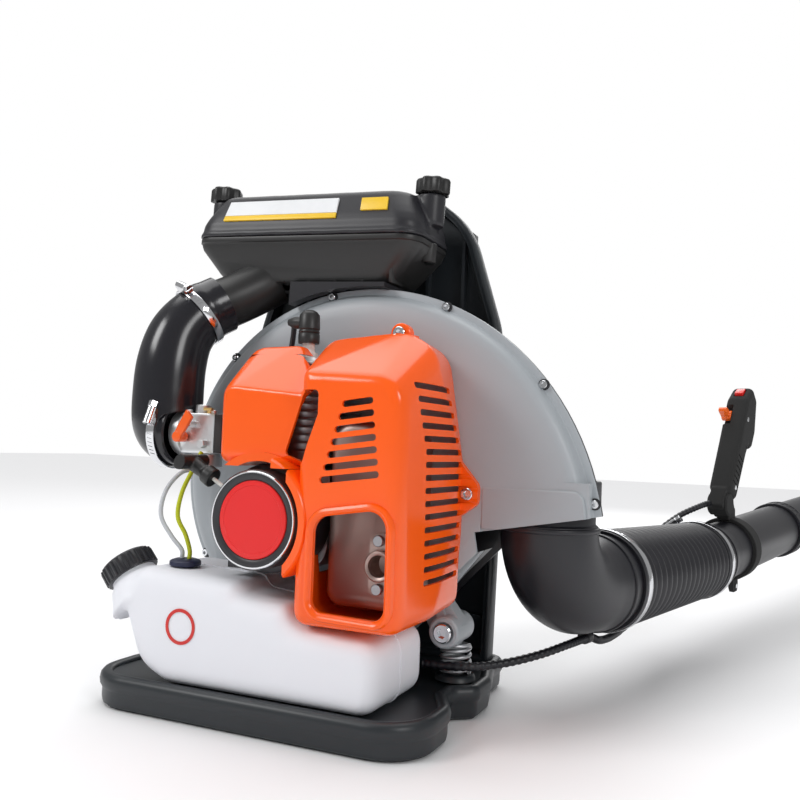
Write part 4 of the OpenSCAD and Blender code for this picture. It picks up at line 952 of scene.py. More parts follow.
def build_cover():
    """Engine shroud with its slots and windows"""
    shell = moulded(cover_shape(0), 2.0, 10)
    inside = cover_shape(3)
    inside = combined(inside[0], inside[1:])
    lip = turned([(0, 49), (0, 54.5), (1.5, 56), (4, 56.6), (70, 56.6), (70, 49)],
                 (CRANK.x, COVER_FRONT - 1.6, CRANK.z), (0, 1, 0), 96)
    lip = carved(lip, [block((-80, -140, 90), (39, -40, 217)), block((-80, -140, 90), (120, -40, 128)),
                       block((-80, -140, 200), (24, -113.4, 260))])
    window = [(66, 106, 10), (130, 104, 10), (129, 190, 14), (66, 180, 14)]
    raised = levelled(inset(window, -7), [(COVER_FRONT + 8, 0), (COVER_FRONT - 1.2, 0.2), (COVER_FRONT - 3.0, 1.2),
                                          (COVER_FRONT - 3.8, 3.2), (COVER_FRONT - 3.0, 5.2),
                                          (COVER_FRONT - 1.0, 6.6)])
    lugs = [rod((104, -59, 336), (104, -49, 336), 9, 40, 0.8),
            hull([(x, y, z) for x in (90, 118) for y in (-58, -50) for z in (320, 334)]),
            levelled([(138, 174, 2), (161, 190, 9), (161, 207, 9), (138, 234, 2)], [(-7, 0), (1.6, 0), (2.4, 0.8)])]
    shell = combined(shell, [lip, raised] + lugs)
    cuts = [inside, rod((CRANK.x, -135, CRANK.z), (CRANK.x, -60, CRANK.z), 49, 96),
            block((-60, -64, 212), (-38, -4, 292)), block((20, -76, 128), (48, 3, 317)),
            block((-40, -75, 216), (44, 3, 317)), block((-13, -56, 300), (21, 4, 360)),
            levelled(window, [(COVER_FRONT - 6, -0.4), (COVER_FRONT - 2, 0), (-100, 0)]),
            levelled([(26, 229, 4), (50, 220, 4), (65, 262, 5), (65, 282, 4), (43, 282, 5)], [(-140, 0), (-96, 0)])]
    for k in range(7):
        u = 22 + k * 4.2
        turn = Matrix.Rotation(math.radians(-8), 4, "Y")
        ends = [turn @ Vector((x, 0, 0)) + Vector((111 + k * 1.2, 0, 274 - k * 9.6)) for x in (-u, 0)]
        outline = [(p.x + 2.7 * math.cos(a), p.z + 2.7 * math.sin(a)) for p, start in ((ends[1], -90), (ends[0], 90))
                   for a in (math.radians(start + s * 22.5) for s in range(9))]
        cuts.append(prism(outline, -140, -104))
    for k in range(16):
        y0, z = -104 + min(k, 5) * 4, 288.3 - k * 10.6
        outline = [(y0 + (75.5 if s < 9 else 2.5) + 2.5 * math.cos(a), z + 2.5 * math.sin(a))
                   for s, a in ((s, math.radians(-90 + s * 22.5 + (0 if s < 9 else -22.5))) for s in range(18))]
        cuts.append(prism(outline, 120, 162, "x"))
    cuts += [rod((104, -61, 336), (104, -48, 336), 2.8), rod((152, -9, 199), (152, 5, 199), 2.8)]
    shell = carved(shell, cuts)
    finished(shell, "engine_shroud", "cover_orange", "machine", "engine_cover", angle=34, edge=0.5)
    screws = [cap_screw((104, -59, 336), (0, -1, 0), 5.4, 4.6), cap_screw((152, -7, 199), (0, -1, 0), 5.4, 4.6)]
    finished(joined("screws", screws), "shroud_screws", "screw_steel", "machine", angle=30)


ROPE_EYE = Vector((CRANK.x - 30, -104, CRANK.z + 18))


def build_starter():
    """Starter cover, disc, handle, cord and reel"""
    centre = (CRANK.x, -120, CRANK.z)
    ring = turned([(0, 33.2), (-0.8, 34.6), (-1.4, 38), (-0.8, 41), (0.6, 42), (20, 42), (20, 42.2), (22, 46),
                   (24, 47), (50, 47), (50, 38), (6, 38), (5, 33.2)], centre, (0, 1, 0), 128)
    skirt = block((-36, -96, 128), (36, -64.3, 160))
    skirt = carved(skirt, [rod((CRANK.x, -99, CRANK.z), (CRANK.x, -60, CRANK.z), 46)])
    ring = carved(ring, [rod(ROPE_EYE, ROPE_EYE + PULL_DIR * 40, 4.5)])
    face = turned([(3, 0), (3, 33.4), (6, 33.4), (6, 0)], centre, (0, 1, 0), 96)
    hub = rod((CRANK.x, -115, CRANK.z), (CRANK.x, -96, CRANK.z), 5.9)
    finished(joined("starter", [ring, skirt, face, hub]), "starter_cover", "starter_black", "machine",
             "starter_housing", angle=34, edge=0.3)
    # Painted highlight: a thin bright steel ring on the black starter cover stands in for the thin highlights along
    # its rim.
    painted_highlight_ring = turned([(-1.2, 39.0), (-1.7, 39.2), (-1.7, 40.2), (-1.0, 40.8), (-0.4, 40.6), (-0.4, 39.0)], centre,
                  (0, 1, 0), 128)
    finished(painted_highlight_ring, "starter_painted_highlight_ring", "clamp_steel", "machine", angle=40)
    badge = turned([(3, 0), (3, 32.8), (-0.2, 32.8), (-0.9, 32.2), (-1.1, 31.2), (-1.1, 28.6), (-0.6, 28.2),
                    (-0.6, 0)], centre, (0, 1, 0), 96)
    finished(badge, "starter_disc", "badge_red", "machine", "starter_badge", angle=30)
    origin = ROPE_EYE + PULL_DIR * 26
    side = Vector((0, 1, 0))
    up = PULL_DIR.cross(side)
    stem = turned([(0, 0), (0, 8.4), (1, 9), (9, 8.6), (12, 6.4), (24, 7), (26, 0)], origin, PULL_DIR, 40)
    grip = hull([origin + PULL_DIR * (28 + 6 * math.cos(t)) + side * (s * 15 + s * 3.2 * max(0, math.cos(q)))
                 + up * 7 * math.sin(t) for s in (-1, 1) for t in angles(20) for q in (0, math.pi)])
    handle = moulded([stem, grip], 1.0, 4)
    handle = carved(handle, [rod(origin - PULL_DIR, origin + PULL_DIR * 9, 2.4)])
    finished(handle, "starter_grip", "handle_rubber", "pull_handle", "starter_handle", angle=40)

    def strands(t, share):
        """The lay of the cord, as a share of its radius."""
        return 1 + 0.05 * math.cos(4 * t + share * 40)

    rope = swept([origin + PULL_DIR * (k / 2 - 14) for k in range(45)], 1.75, 16, shape=strands)
    finished(rope, "starter_cord", "rope_white", None, "starter_rope", angle=60)
    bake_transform(rope)
    for node, slot in (("starter_reel", "reel_nylon"), ("recoil_spring", "spring_steel")):
        from_cad(node, slot, 0.3)


def build_engine():
    """Crankcase, cylinder, ignition and exhaust"""
    for node, slot, edge in (("crankcase", "cast_aluminium", 0.8), ("engine_cylinder", "cast_aluminium", 0.4),
                             ("piston", "machined_aluminium", 0.3), ("con_rod", "forged_steel", 0.4),
                             ("crankshaft", "forged_steel", 0.5), ("main_bearings", "bearing_steel", 0.4),
                             ("flywheel", "cast_aluminium", 0.5), ("intake_adaptor", "insulator_black", 0.8),
                             ("throttle_arm", "brass", 0.3), ("filter_element", "filter_foam", 1.5)):
        from_cad(node, slot, edge)
    x, y, z = CRANK.x, -40, 300
    plug = joined("plug", [rod((x, y, z), (x, y, z + 15.2), 5, 32), rod((x, y, z + 15.2), (x, y, z + 22.2), 9.2, 6,
                                                                        0.6), turned([(22.2, 0), (22.2, 6), (24, 6),
            (25, 5.6), (26, 6), (28, 5.6), (29, 6), (34, 5), (34, 3.2), (40, 3), (40.2, 0)], (x, y, z), (0, 0, 1),
            32)])
    finished(plug, "spark_plug_body", "plug_ceramic", "machine", "spark_plug", angle=40)
    boot = turned([(-0.5, 6.4), (-0.5, 9.6), (1, 10), (8, 10), (9, 9.2), (10, 10), (12, 9.2), (13, 10), (26, 9.4),
                   (29, 7), (30.6, 4), (31, 0.1), (10, 0.1), (10, 6.4)], (x, y, 331), (0, 0, 1), 40)
    nose = turned([(-6, 5.4), (4, 6), (10, 5.4), (14, 3.9), (16, 3.2), (16, 0), (-6, 0)], (x - 6, y, 350),
                  (-1, 0, 0.05), 32)
    finished(joined("boot", [boot, nose]), "plug_boot", "boot_rubber", "machine", "plug_cap", angle=40)
    lead = smooth_path([(-34, -84, 241), (-39, -80, 250), (-41, -66, 272), (-41, -40, 290), (-41, -12, 306),
                        (-37, -5, 330), (-28, -16, 350), (-20, -34, 352), (-14, -40, 350)], 8)
    coil = hull([(a, b, c) for a in (-38.5, -4.5) for b in (-89, -75.2) for c in (224, 244)]
                + [(a, b, c) for a in (-36, -7) for b in (-90, -74.2) for c in (226, 242)])
    finished(joined("ignition", [coil, swept(lead, 2.7, 14)]), "ignition_lead_and_coil", "coil_black", "machine",
             "ignition_coil", angle=40)

    corners = [(58, 104, 14), (124, 104, 14), (124, 258, 20), (58, 258, 20)]
    levels = [(-92, 9), (-91.6, 5), (-90, 2), (-87, 0.4), (-84, 0), (-58, 0), (-57, -0.4), (-57, -1.6), (-53, -1.6),
              (-53, 0), (-24, 0), (-20, 2), (-18, 8)]
    can = levelled(corners, levels)
    flange = prism(rounded([(101, 118, 5), (115, 115, 6), (123, 142, 13), (116, 169, 5), (101, 167, 5),
                            (97, 142, 12)], 6), -96, -91.5)
    spout = turned([(0, 9), (0, 11.6), (-5, 11.6), (-6.4, 12.6), (-7, 11.4), (-6, 9)], (111, -95, 142), (0, 1, 0), 40)
    can = carved(combined(can, [flange]), [rod((111, -97, 142), (111, -80, 142), 9)])
    inlet = turned([(0, 10), (0, 14.8), (10, 14.8), (10, 10)], (48.2, -40, 244), (1, 0, 0), 40)
    bolts = [cap_screw((109, -96, z), (0, -1, 0), 4.6, 3.6, socket=False) for z in (123, 162)]
    finished(joined("exhaust", [can, spout, inlet]), "exhaust_can", "muffler_steel", "machine", "muffler", angle=36,
             edge=0.4)
    finished(joined("bolts", bolts), "exhaust_bolts", "forged_steel", "machine", angle=30)


def build_carburettor():
    """Carburettor, primer and choke lever"""
    x, y, z = -98, -50, 244
    body = hull([(x + a * 19, y + b * 16, z + c * 19) for a in (-1, 1) for b in (-1, 1) for c in (-1, 1)])
    parts = [moulded([body, rod((x - 24, y, z), (x - 18, y, z), 20, 40)], 1.6, 3),
             rod((x - 30, y, z), (x - 19, y, z), 22, 48, 0.8), rod((x, y, z - 32), (x, y, z - 19), 15, 48, 1),
             rod((x - 2, y - 6, z + 18), (x - 2, y - 6, z + 27), 7, 32, 0.8),
             rod((x - 6, y - 24, z + 8), (x - 6, y - 14, z + 8), 3.6, 24, 0.5),
             rod((x + 8, y - 22, z - 10), (x + 8, y - 14, z - 10), 4.2, 6, 0.4)]
    for a, b in ((-1, -1), (1, -1), (-1, 1), (1, 1)):
        parts.append(rod((x + a * 14, y + b * 11, z + 18), (x + a * 14, y + b * 11, z + 22), 3, 20, 0.4))
    piece = carved(combined(parts[0], parts[1:]),
                   [rod((x - 31, y, z), (x + 30, y, z), 11), rod((x, y, z - 33), (x, y, z - 24), 9.4),
                    rod((x + 10, y - 12, z + 10), (x + 10, y - 12, z + 32), 3.05)])
    finished(piece, "carburettor_body", "machined_aluminium", "machine", "carburettor", angle=34)
    bulb = turned([(0, 0), (0, 3), (1.5, 6.4), (4, 8.6), (6, 9), (11, 9), (11, 0)], (x, y, z - 41), (0, 0, 1), 40)
    finished(bulb, "primer_dome", "primer_red", "primer", "primer_bulb", angle=50)
    turn = Matrix.Rotation(math.radians(30), 4, "Y")
    blade = hull([turn @ Vector((u, v, w)) + Vector((x - 14, y - 30, z - 4))
                  for u, w in ((-4, -3), (4, -3), (3, 20), (-3, 20), (5, 24), (-4, 27)) for v in (0.4, 4)])
    hub = rod((x - 14, y - 30, z - 4), (x - 14, y - 17.4, z - 4), 5, 32, 0.6)
    finished(joined("choke", [blade, hub]), "choke_lever_moulding", "choke_orange", "choke", "choke_lever", angle=36,
             edge=0.8)


NECK_BASE = Vector((-134, -94, 103))
LINES_X, LINES_Y = -86, -90


def build_tank():
    """Translucent tank, cap, grommet and fuel lines"""
    corners = [(-80, 26, 26), (120, 26, 16), (120, 86, 18), (44, 90, 20), (38, 106, 10), (-8, 110, 12), (-14, 120, 7),
               (-112, 124, 18), (-134, 100, 22), (-110, 40, 36)]
    levels = [(-124, 14), (-123, 9), (-120.6, 5), (-117, 2), (-112, 0.4), (-107, 0), (-30, 0), (-25, 0.6), (-19, 3.4),
              (-15.4, 8), (-14, 14)]
    shell = levelled(corners, levels, steps=6)
    neck = rod(NECK_BASE - NECK_UP * 18, NECK_BASE + NECK_UP * 24.6, 20.4, 48, 1)
    collar = turned([(-22, 0), (-16, 34), (-8, 29), (0, 26), (5, 24), (8, 0)], NECK_BASE, NECK_UP, 48)
    boss = rod((LINES_X, LINES_Y, 112), (LINES_X, LINES_Y, 121.6), 22, 40, 3)
    shell = moulded([shell, neck, collar, boss], 2.4, 9)
    seam = levelled(corners, [(-69.6, -0.9), (-68.4, -0.9)], steps=6)
    inner = levelled(inset(corners, 2.6), [(-116, 4), (-110, 0.6), (-104, 0), (-34, 0), (-24, 3), (-18, 8)], steps=6)
    shell = combined(shell, [seam])
    shell = carved(shell, [inner, rod(NECK_BASE - NECK_UP * 20, NECK_BASE + NECK_UP * 40, 17.5),
                           rod((CRANK.x, -127, CRANK.z), (CRANK.x, -3, CRANK.z), 50.5, 96),
                           rod((LINES_X, LINES_Y, 105), (LINES_X, LINES_Y, 140), 8.2),
                           block((-160, -140, 0), (160, 0, 26))])
    finished(shell, "fuel_tank_moulding", "tank_white", "machine", "fuel_tank", angle=50)
    ribs = []
    side, up = across(NECK_UP)
    cap = turned([(10, 20.4), (10, 23.6), (11, 24), (25, 23.6), (26.6, 22.6), (27.6, 20.6), (28, 17), (27.4, 15.6),
                  (27.4, 0), (25.4, 0), (25.4, 20.4)], NECK_BASE, NECK_UP, 72)
    for t in angles(24):
        out = side * math.cos(t) + up * math.sin(t)
        ribs.append(rod(NECK_BASE + out * 23.2 + NECK_UP * 11, NECK_BASE + out * 23.0 + NECK_UP * 25.4, 1.9, 10, 0.5))
    bar = hull([NECK_BASE + NECK_UP * w + side * a * 15 + up * b * (3.4 if w < 28 else 2.4) for w in (27, 31)
                for a in (-1, 1) for b in (-1, 1)])
    finished(joined("cap", [cap, bar] + ribs), "fuel_cap_moulding", "cap_black", "tank_cap", "fuel_cap", angle=36)
    gasket = turned([(24, 15), (24, 19.8), (25.4, 19.8), (25.4, 15)], NECK_BASE, NECK_UP, 48)
    finished(gasket, "cap_seal_ring", "gasket_rubber", "cap_seal", "cap_gasket", angle=36)
    plug = turned([(121.8, 0), (121.8, 8), (124.2, 8.1), (124.2, 13.4), (125, 14), (128, 14), (129.2, 12.6),
                   (130.4, 9), (130.6, 0)], (LINES_X, LINES_Y, 0), (0, 0, 1), 48)
    holes = [rod((LINES_X + s * 4, LINES_Y, 118), (LINES_X + s * 4, LINES_Y, 134), 2.1, 20) for s in (-1, 1)]
    finished(carved(plug, holes), "tank_line_grommet", "grommet_rubber", "machine", "tank_grommet", angle=36)
    for node, slot, path in (("fuel_line", "fuel_hose_yellow", [(-82, -90, 112), (-82, -90, 121), (-82, -90, 130),
                                                                (-82, -90, 138), (-86, -92, 152), (-94, -94, 168),
                                                                (-92, -92, 190), (-88, -82, 212), (-88, -72, 226)]),
                             ("return_line", "fuel_hose_clear", [(-90, -90, 112), (-90, -90, 121), (-90, -90, 130),
                                                                 (-91, -90, 138), (-102, -92, 150), (-113, -94, 168),
                                                                 (-112, -90, 190), (-106, -78, 206),
                                                                 (-102, -66, 209)])):
        finished(swept(smooth_path(path, 6), 2.0, 16, wall=0.8), f"{node}_hose", slot, "machine", node, angle=60)
    centre = Vector((-62, -124.2, 78))
    rings = turned([(0, 12.4), (-0.5, 12.4), (-0.5, 15.2), (0, 15.2)], centre, (0, 1, 0), 64)
    finished(rings, "tank_red_ring_sticker", "label_red", "machine", angle=30)


BOX_ORIGIN = Vector((-38, 0, 445))
KNOB_REACH, KNOB_BACK = 123, 46
LABEL_LIFT = 1.2


def box_point(u, y, w):
    """A point of the air box's own tilted frame."""
    return BOX_ORIGIN + BOX_RIGHT * u + Vector((0, y, 0)) + BOX_UP * w


def box_loft(corners, levels, steps=8):
    """Rings of an outline at heights of the air box; levels are (height, inset, shift back)."""
    return lofted([[box_point(u, v + back, w) for u, v in rounded(inset(corners, d), steps)]
                   for w, d, back in levels])


def blended(low, high, share):
    """An outline part of the way from one to another."""
    return [(a[0] + (b[0] - a[0]) * share, a[1] + (b[1] - a[1]) * share, a[2] + (b[2] - a[2]) * share)
            for a, b in zip(low, high)]


def build_air_box():
    """Air cleaner case, lid, knobs and saddle"""
    plan = [(-129, -1, 24), (129, -1, 24), (129, 93, 18), (-129, 93, 18)]
    top_plan = [(-110, 15, 22), (110, 15, 22), (110, 84, 16), (-110, 84, 16)]
    rings = []
    for w, share, d in ((0.3, 0, 1.6), (0.3, 0, 0.4), (1.2, 0, -0.4), (4.4, 0, -0.4), (5.2, 0, 0.6), (6, 0, 1.6),
                        (14, 0.05, 1.6), (22, 0.22, 1.6), (30, 0.46, 1.2), (37, 0.7, 0.6), (42, 0.87, 0.2),
                        (45, 0.97, 0.6), (46.4, 1.05, 3), (47, 1.2, 8)):
        outline = rounded(inset(blended(plan, top_plan, min(share, 1)), d), 8)
        rings.append([box_point(u, v, w) for u, v in outline])
    lid = lofted(rings)
    posts = [rod(box_point(s * 122, 46, 16), box_point(s * 122, 46, 48), 14, 40, 1.4) for s in (-1, 1)]
    dome = hull([box_point(60 + half_u * math.cos(t), 50 + half_v * math.sin(t), w)
                 for half_u, half_v, w in ((46, 26, 44), (38, 20, 50)) for t in angles(32)])
    lid = moulded([lid] + posts + [dome], 1.8, 5)
    inner = lofted([[box_point(u, v, w) for u, v in rounded(inset(blended(plan, top_plan, share), d), 6)]
                    for w, share, d in ((-2, 0, 3), (14, 0.05, 4.6), (28, 0.5, 4.6), (41, 0.9, 4))])
    low_seam = box_loft(plan, [(-6, -6, 0), (0.2, -6, 0)])
    lid = carved(lid, [inner, low_seam]
                 + [rod(box_point(s * KNOB_REACH, KNOB_BACK, -2), box_point(s * KNOB_REACH, KNOB_BACK, 62), 3.4)
                    for s in (-1, 1)])
    finished(lid, "air_cleaner_lid", "airlid_black", "air_lid", "air_cover", angle=40)

    rim = [(-128, 0, 22), (128, 0, 22), (128, 92, 16), (-128, 92, 16)]
    foot = [(-96, 10, 16), (100, 10, 16), (100, 80, 12), (-96, 80, 12)]
    rings = []
    for w, share, d in ((-0.2, 0, 1.0), (-0.4, 0, 0.2), (-1.4, 0, 0), (-5, 0, 0), (-6, 0, 1.4), (-8, 0, 1.8),
                        (-12, 0.06, 1.6), (-24, 0.4, 1.4), (-36, 0.74, 1), (-42, 0.93, 1), (-45, 1, 2.4),
                        (-46, 1, 6)):
        rings.append([box_point(u, v, w) for u, v in rounded(inset(blended(rim, foot, share), d), 8)])
    case = lofted(rings)
    ribs = [hull([box_point(u + a, 7 + b, w) for a in (-1.3, 1.3)
                  for b, w in ((0, -8), (30, -8), (4, -45), (30, -45))]) for u in range(-80, 101, 30)]
    neck_path = [(-84, 34, 408), (-96, 24, 398), (-112, 6, 384), (-122, -8.4, 375)]
    neck = swept(smooth_path(neck_path, 5), 26, 40)
    bore = swept(smooth_path([(-70, 44, 418)] + neck_path + [(-130, -20, 368)], 5), 22, 40)
    lugs = [rod(box_point(s * KNOB_REACH, KNOB_BACK, -20), box_point(s * KNOB_REACH, KNOB_BACK, -0.3), 8, 32, 1)
            for s in (-1, 1)]
    case = combined(case, ribs + [neck] + lugs)
    hollow = box_loft([(-125, 3, 20), (125, 3, 20), (125, 89, 14), (-125, 89, 14)],
                      [(2, 0, 0), (-10, 0, 0), (-24, 14, 0), (-43, 28, 0)])
    case = carved(case, [hollow, bore]
                  + [rod(box_point(s * KNOB_REACH, KNOB_BACK, -12), box_point(s * KNOB_REACH, KNOB_BACK, 3), 3.4)
                     for s in (-1, 1)])
    finished(case, "air_cleaner_case", "airbox_black", "machine", "air_case", angle=34, edge=0.5)

    for side, body, node in ((-1, "lid_knob_left", "air_knob_left"), (1, "lid_knob_right", "air_knob_right")):
        rings = []
        for w, grow in ((48.3, 0.9), (49, 1.0), (61, 1.0), (63.2, 0.93), (64.2, 0.8), (64.2, 0.5), (63, 0.42),
                        (62.6, 0.1)):
            ring = []
            for t in angles(84):
                r = (16 + 1.5 * math.cos(7 * t) if grow > 0.6 else 16) * grow
                ring.append(box_point(side * KNOB_REACH + r * math.cos(t), KNOB_BACK + r * math.sin(t), w))
            rings.append(ring)
        stem = rod(box_point(side * KNOB_REACH, KNOB_BACK, -8), box_point(side * KNOB_REACH, KNOB_BACK, 50), 3)
        finished(joined("knob", [lofted(rings), stem]), f"{node}_moulding", "knob_black", body, node, angle=36,
                 edge=0.4)

    front = [box_point(u, v, w) for u, v, w in ((-92, 2.0, 16.5), (40, 2.0, 16.5), (38, 10.7, 38), (-90, 10.7, 38))]

    def on_slope(low_u, high_u, low_share, high_share):
        """A thin label on the lid's slope, given as shares of the main label's place."""
        a, b = front[0].lerp(front[3], low_share), front[1].lerp(front[2], low_share)
        c, d = front[0].lerp(front[3], high_share), front[1].lerp(front[2], high_share)
        out = (b - a).cross(d - b).normalized()
        if out.y > 0:
            out = -out
        corners = [a.lerp(b, low_u), a.lerp(b, high_u), c.lerp(d, high_u), c.lerp(d, low_u)]
        return hull([p + out * (LABEL_LIFT + t) for p in corners for t in (-2.5, 0.35)])

    for name, slot, shares in (("air_lid_blank_label", "label_white", (0, 1, 0.26, 1)),
                               ("air_lid_label_band", "label_yellow", (0, 1, 0, 0.24)),
                               ("air_lid_corner_label", "label_yellow", (1.2, 1.42, 0.34, 0.96))):
        finished(on_slope(*shares), name, slot, "air_lid", angle=30, edge=0.1)

    bracket = hull([box_point(u, v, w) for u in (-6, 98) for v in (3, 63) for w in (-50.2, -46.2)])
    arms = [hull([box_point(u, v, w) for u, w in ((-6, -72), (-6, -48), (98, -48), (98, -72)) for v in (y, y + 12)])
            for y in (3, 40)]
    cheek = [hull([box_point(u + a, v, w) for a in (0, 5) for v in (3, 60) for w in (-60, -48)])
             for u in (-6, 44, 93)]
    bracket = carved(combined(bracket, arms + cheek), [prism(scroll_outline(-0.3), 2, 70)])
    finished(bracket, "air_box_saddle", "bracket_black", "machine", "air_box_bracket", angle=34, edge=0.9)


def build_intake():
    """Rubber intake elbow and its clamps"""
    path = smooth_path([(-128, -50, 244), (-138, -50, 245), (-146, -50, 256), (-148, -49, 282), (-148, -46, 312),
                        (-145, -38, 340), (-135, -24, 362), (-120, -6, 377)], 8)
    knots = [31, 33, 34, 34, 33.5, 32, 30, 29.5]
    radii = [p.x for p in smooth_path([(r, 0, 0) for r in knots], 8)]

    def ridged(t, share):
        """Two ridges along the hose and a bead near each end."""
        body = min(1, max(0, (share - 0.16) / 0.08)) * min(1, max(0, (0.86 - share) / 0.08))
        swell = sum(math.exp(-(((t - a + math.pi) % (2 * math.pi) - math.pi) / 0.11) ** 2) for a in (2.2, 3.6))
        ends = 0.05 * (math.exp(-((share - 0.11) / 0.012) ** 2) + math.exp(-((share - 0.9) / 0.012) ** 2))
        return 1 + 0.055 * body * swell + ends

    hose = swept(path, radii, 96, wall=3, shape=ridged)
    finished(hose, "intake_hose_elbow", "intake_rubber", "machine", "intake_elbow", angle=60)
    parts = worm_clamp((-134, -50, 244.2), (-1, 0, 0.035), 34.2, toward=(0, -1, 0.4))
    end, way = path[-10], (path[-4] - path[-14]).normalized()
    parts += worm_clamp(end, way, 31.2, 8, toward=(-0.3, -1, 0.3))
    finished(joined("clamps", parts), "intake_worm_clamps", "clamp_steel", "machine", "intake_clamps", angle=34)


def hose_point(a, b, c):
    """Across, along and above the flexible hose from its first collar."""
    return HOSE_START + TUBE_SIDE * a + HOSE_DIR * b + Vector((0, 0, c))


def tube_point(a, b, c):
    """Across, along and above the straight tubes."""
    return TUBE_START + TUBE_SIDE * a + TUBE_DIR * b + TUBE_UP * c


def ring_about(origin, direction, r, sides=96, squeeze=None):
    """A ring square to a direction, starting at the duct's sideways axis."""
    direction = Vector(direction).normalized()
    up = TUBE_SIDE.cross(direction)
    return [Vector(origin) + (TUBE_SIDE * math.cos(t) + up * math.sin(t)) * (r * (squeeze(t) if squeeze else 1))
            for t in angles(sides)]


def pipe(stations):
    """A hollow duct; stations are (origin, direction, outer radius, inner radius)."""
    outer = [ring_about(o, d, r) for o, d, r, _ in stations]
    inner = [ring_about(o, d, q) for o, d, _, q in stations]
    return lofted(outer + inner[::-1], wrap=True)


def build_elbow():
    """Swivelling outlet elbow and its clamp"""
    down = Vector((0, 0, -1))
    stations = [(OUTLET + Vector((0, 0, w)), down, r, 38.6)
                for w, r in ((21.5, 41.6), (2, 41.6), (0.6, 42), (-0.6, 44))]
    for k in range(1, 25):
        t = math.pi / 2 * k / 24
        spot = OUTLET + HOSE_DIR * ELBOW_BEND * (1 - math.cos(t)) + down * ELBOW_BEND * math.sin(t)
        way = HOSE_DIR * math.sin(t) + down * math.cos(t)
        swell = 44 + 1.2 * math.sin(t) ** 2
        stations.append((spot, way, swell, 41))
    low = OUTLET + down * ELBOW_BEND
    for b, r, q in ((66, 45.2, 41.2), (72, 45.4, 41.6), (80, 46.4, 43), (84, 47, 44), (102, 47, 44), (120, 46.9, 44),
                    (120.8, 46.2, 44)):
        stations.append((low + HOSE_DIR * b, HOSE_DIR, r, q))
    duct = pipe(stations)
    skirt = turned([(-1.4, 44), (-2.2, 45.6), (-4.6, 46), (-6, 45.4), (-6.6, 44)], OUTLET, (0, 0, 1), 96)
    lip = turned([(86, 46.9), (86.6, 48.6), (90, 48.8), (91, 47)], low, HOSE_DIR, 96)
    clip = pipe([(low + HOSE_DIR * b + Vector((0, 0, -51.4)), HOSE_DIR, 6.6, 4.3) for b in (74, 84)])
    web = hull([low + HOSE_DIR * b + TUBE_SIDE * a + Vector((0, 0, c)) for a in (-2, 2) for b in (74, 84)
                for c in (-47, -44)])
    finished(joined("elbow", [duct, skirt, lip, clip, web]), "outlet_elbow_duct", "duct_black", "elbow",
             "outlet_elbow", angle=34, edge=0.4)
    clamp = worm_clamp(hose_point(0, 4, 0), HOSE_DIR, HOSE_R + 0.2, 9, toward=(-0.55, 0, 0.85))
    finished(joined("clamp", clamp), "hose_clamp_at_elbow", "clamp_steel", "elbow", "hose_clamp_rear", angle=34)


def build_hose():
    """Corrugated hose that bends between elbow and tube"""
    sizes = bpy.context.scene.blower_sizes
    count, pitch = sizes.hose_ribs, 236 / sizes.hose_ribs
    stations = [(0, 49.9, 47.2), (1, 50.2, 47.2), (17, 50.2, 47.2)]
    steps = 12
    for k in range(count * steps + 1):
        share = k / (count * steps)
        wave = 0.5 - 0.5 * math.cos(2 * math.pi * k / steps)
        crest = wave ** 0.62
        outer = 47 + 3.2 * crest - 4 * share
        stations.append((18 + share * 236, outer, outer - 2.4))
    stations += [(255, 46, 43.2), (268.2, 46, 44), (268.8, 45.4, 44)]
    hose = pipe([(hose_point(0, b, 0), HOSE_DIR, r, q) for b, r, q in stations])
    finished(hose, "corrugated_hose", "hose_black", None, "flex_hose", angle=70)
    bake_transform(hose)


def socket_ring(origin, r):
    """A tube's socket collar with ribs round it."""
    sleeve = turned([(-26, r + 0.4), (-26, r + 3.6), (-25, r + 4.2), (-21, r + 4.2), (-20, r + 3.2), (-4, r + 3.2),
                     (-3, r + 4.4), (2, r + 4.4), (3.4, r + 3), (5, r + 0.2), (8, r - 0.3), (8, r - 3), (0.5, r - 3),
                     (0.4, r + 0.4)], origin, TUBE_DIR, 96)
    ribs = []
    for t in angles(28):
        out = TUBE_SIDE * math.cos(t) + TUBE_UP * math.sin(t)
        flat = TUBE_DIR.cross(out)
        ribs.append(hull([Vector(origin) + TUBE_DIR * b + out * c + flat * a for a in (-1.1, 1.1) for b in (-19, -5)
                          for c in (r + 2.4, r + 4.2)]))
    return [sleeve] + ribs


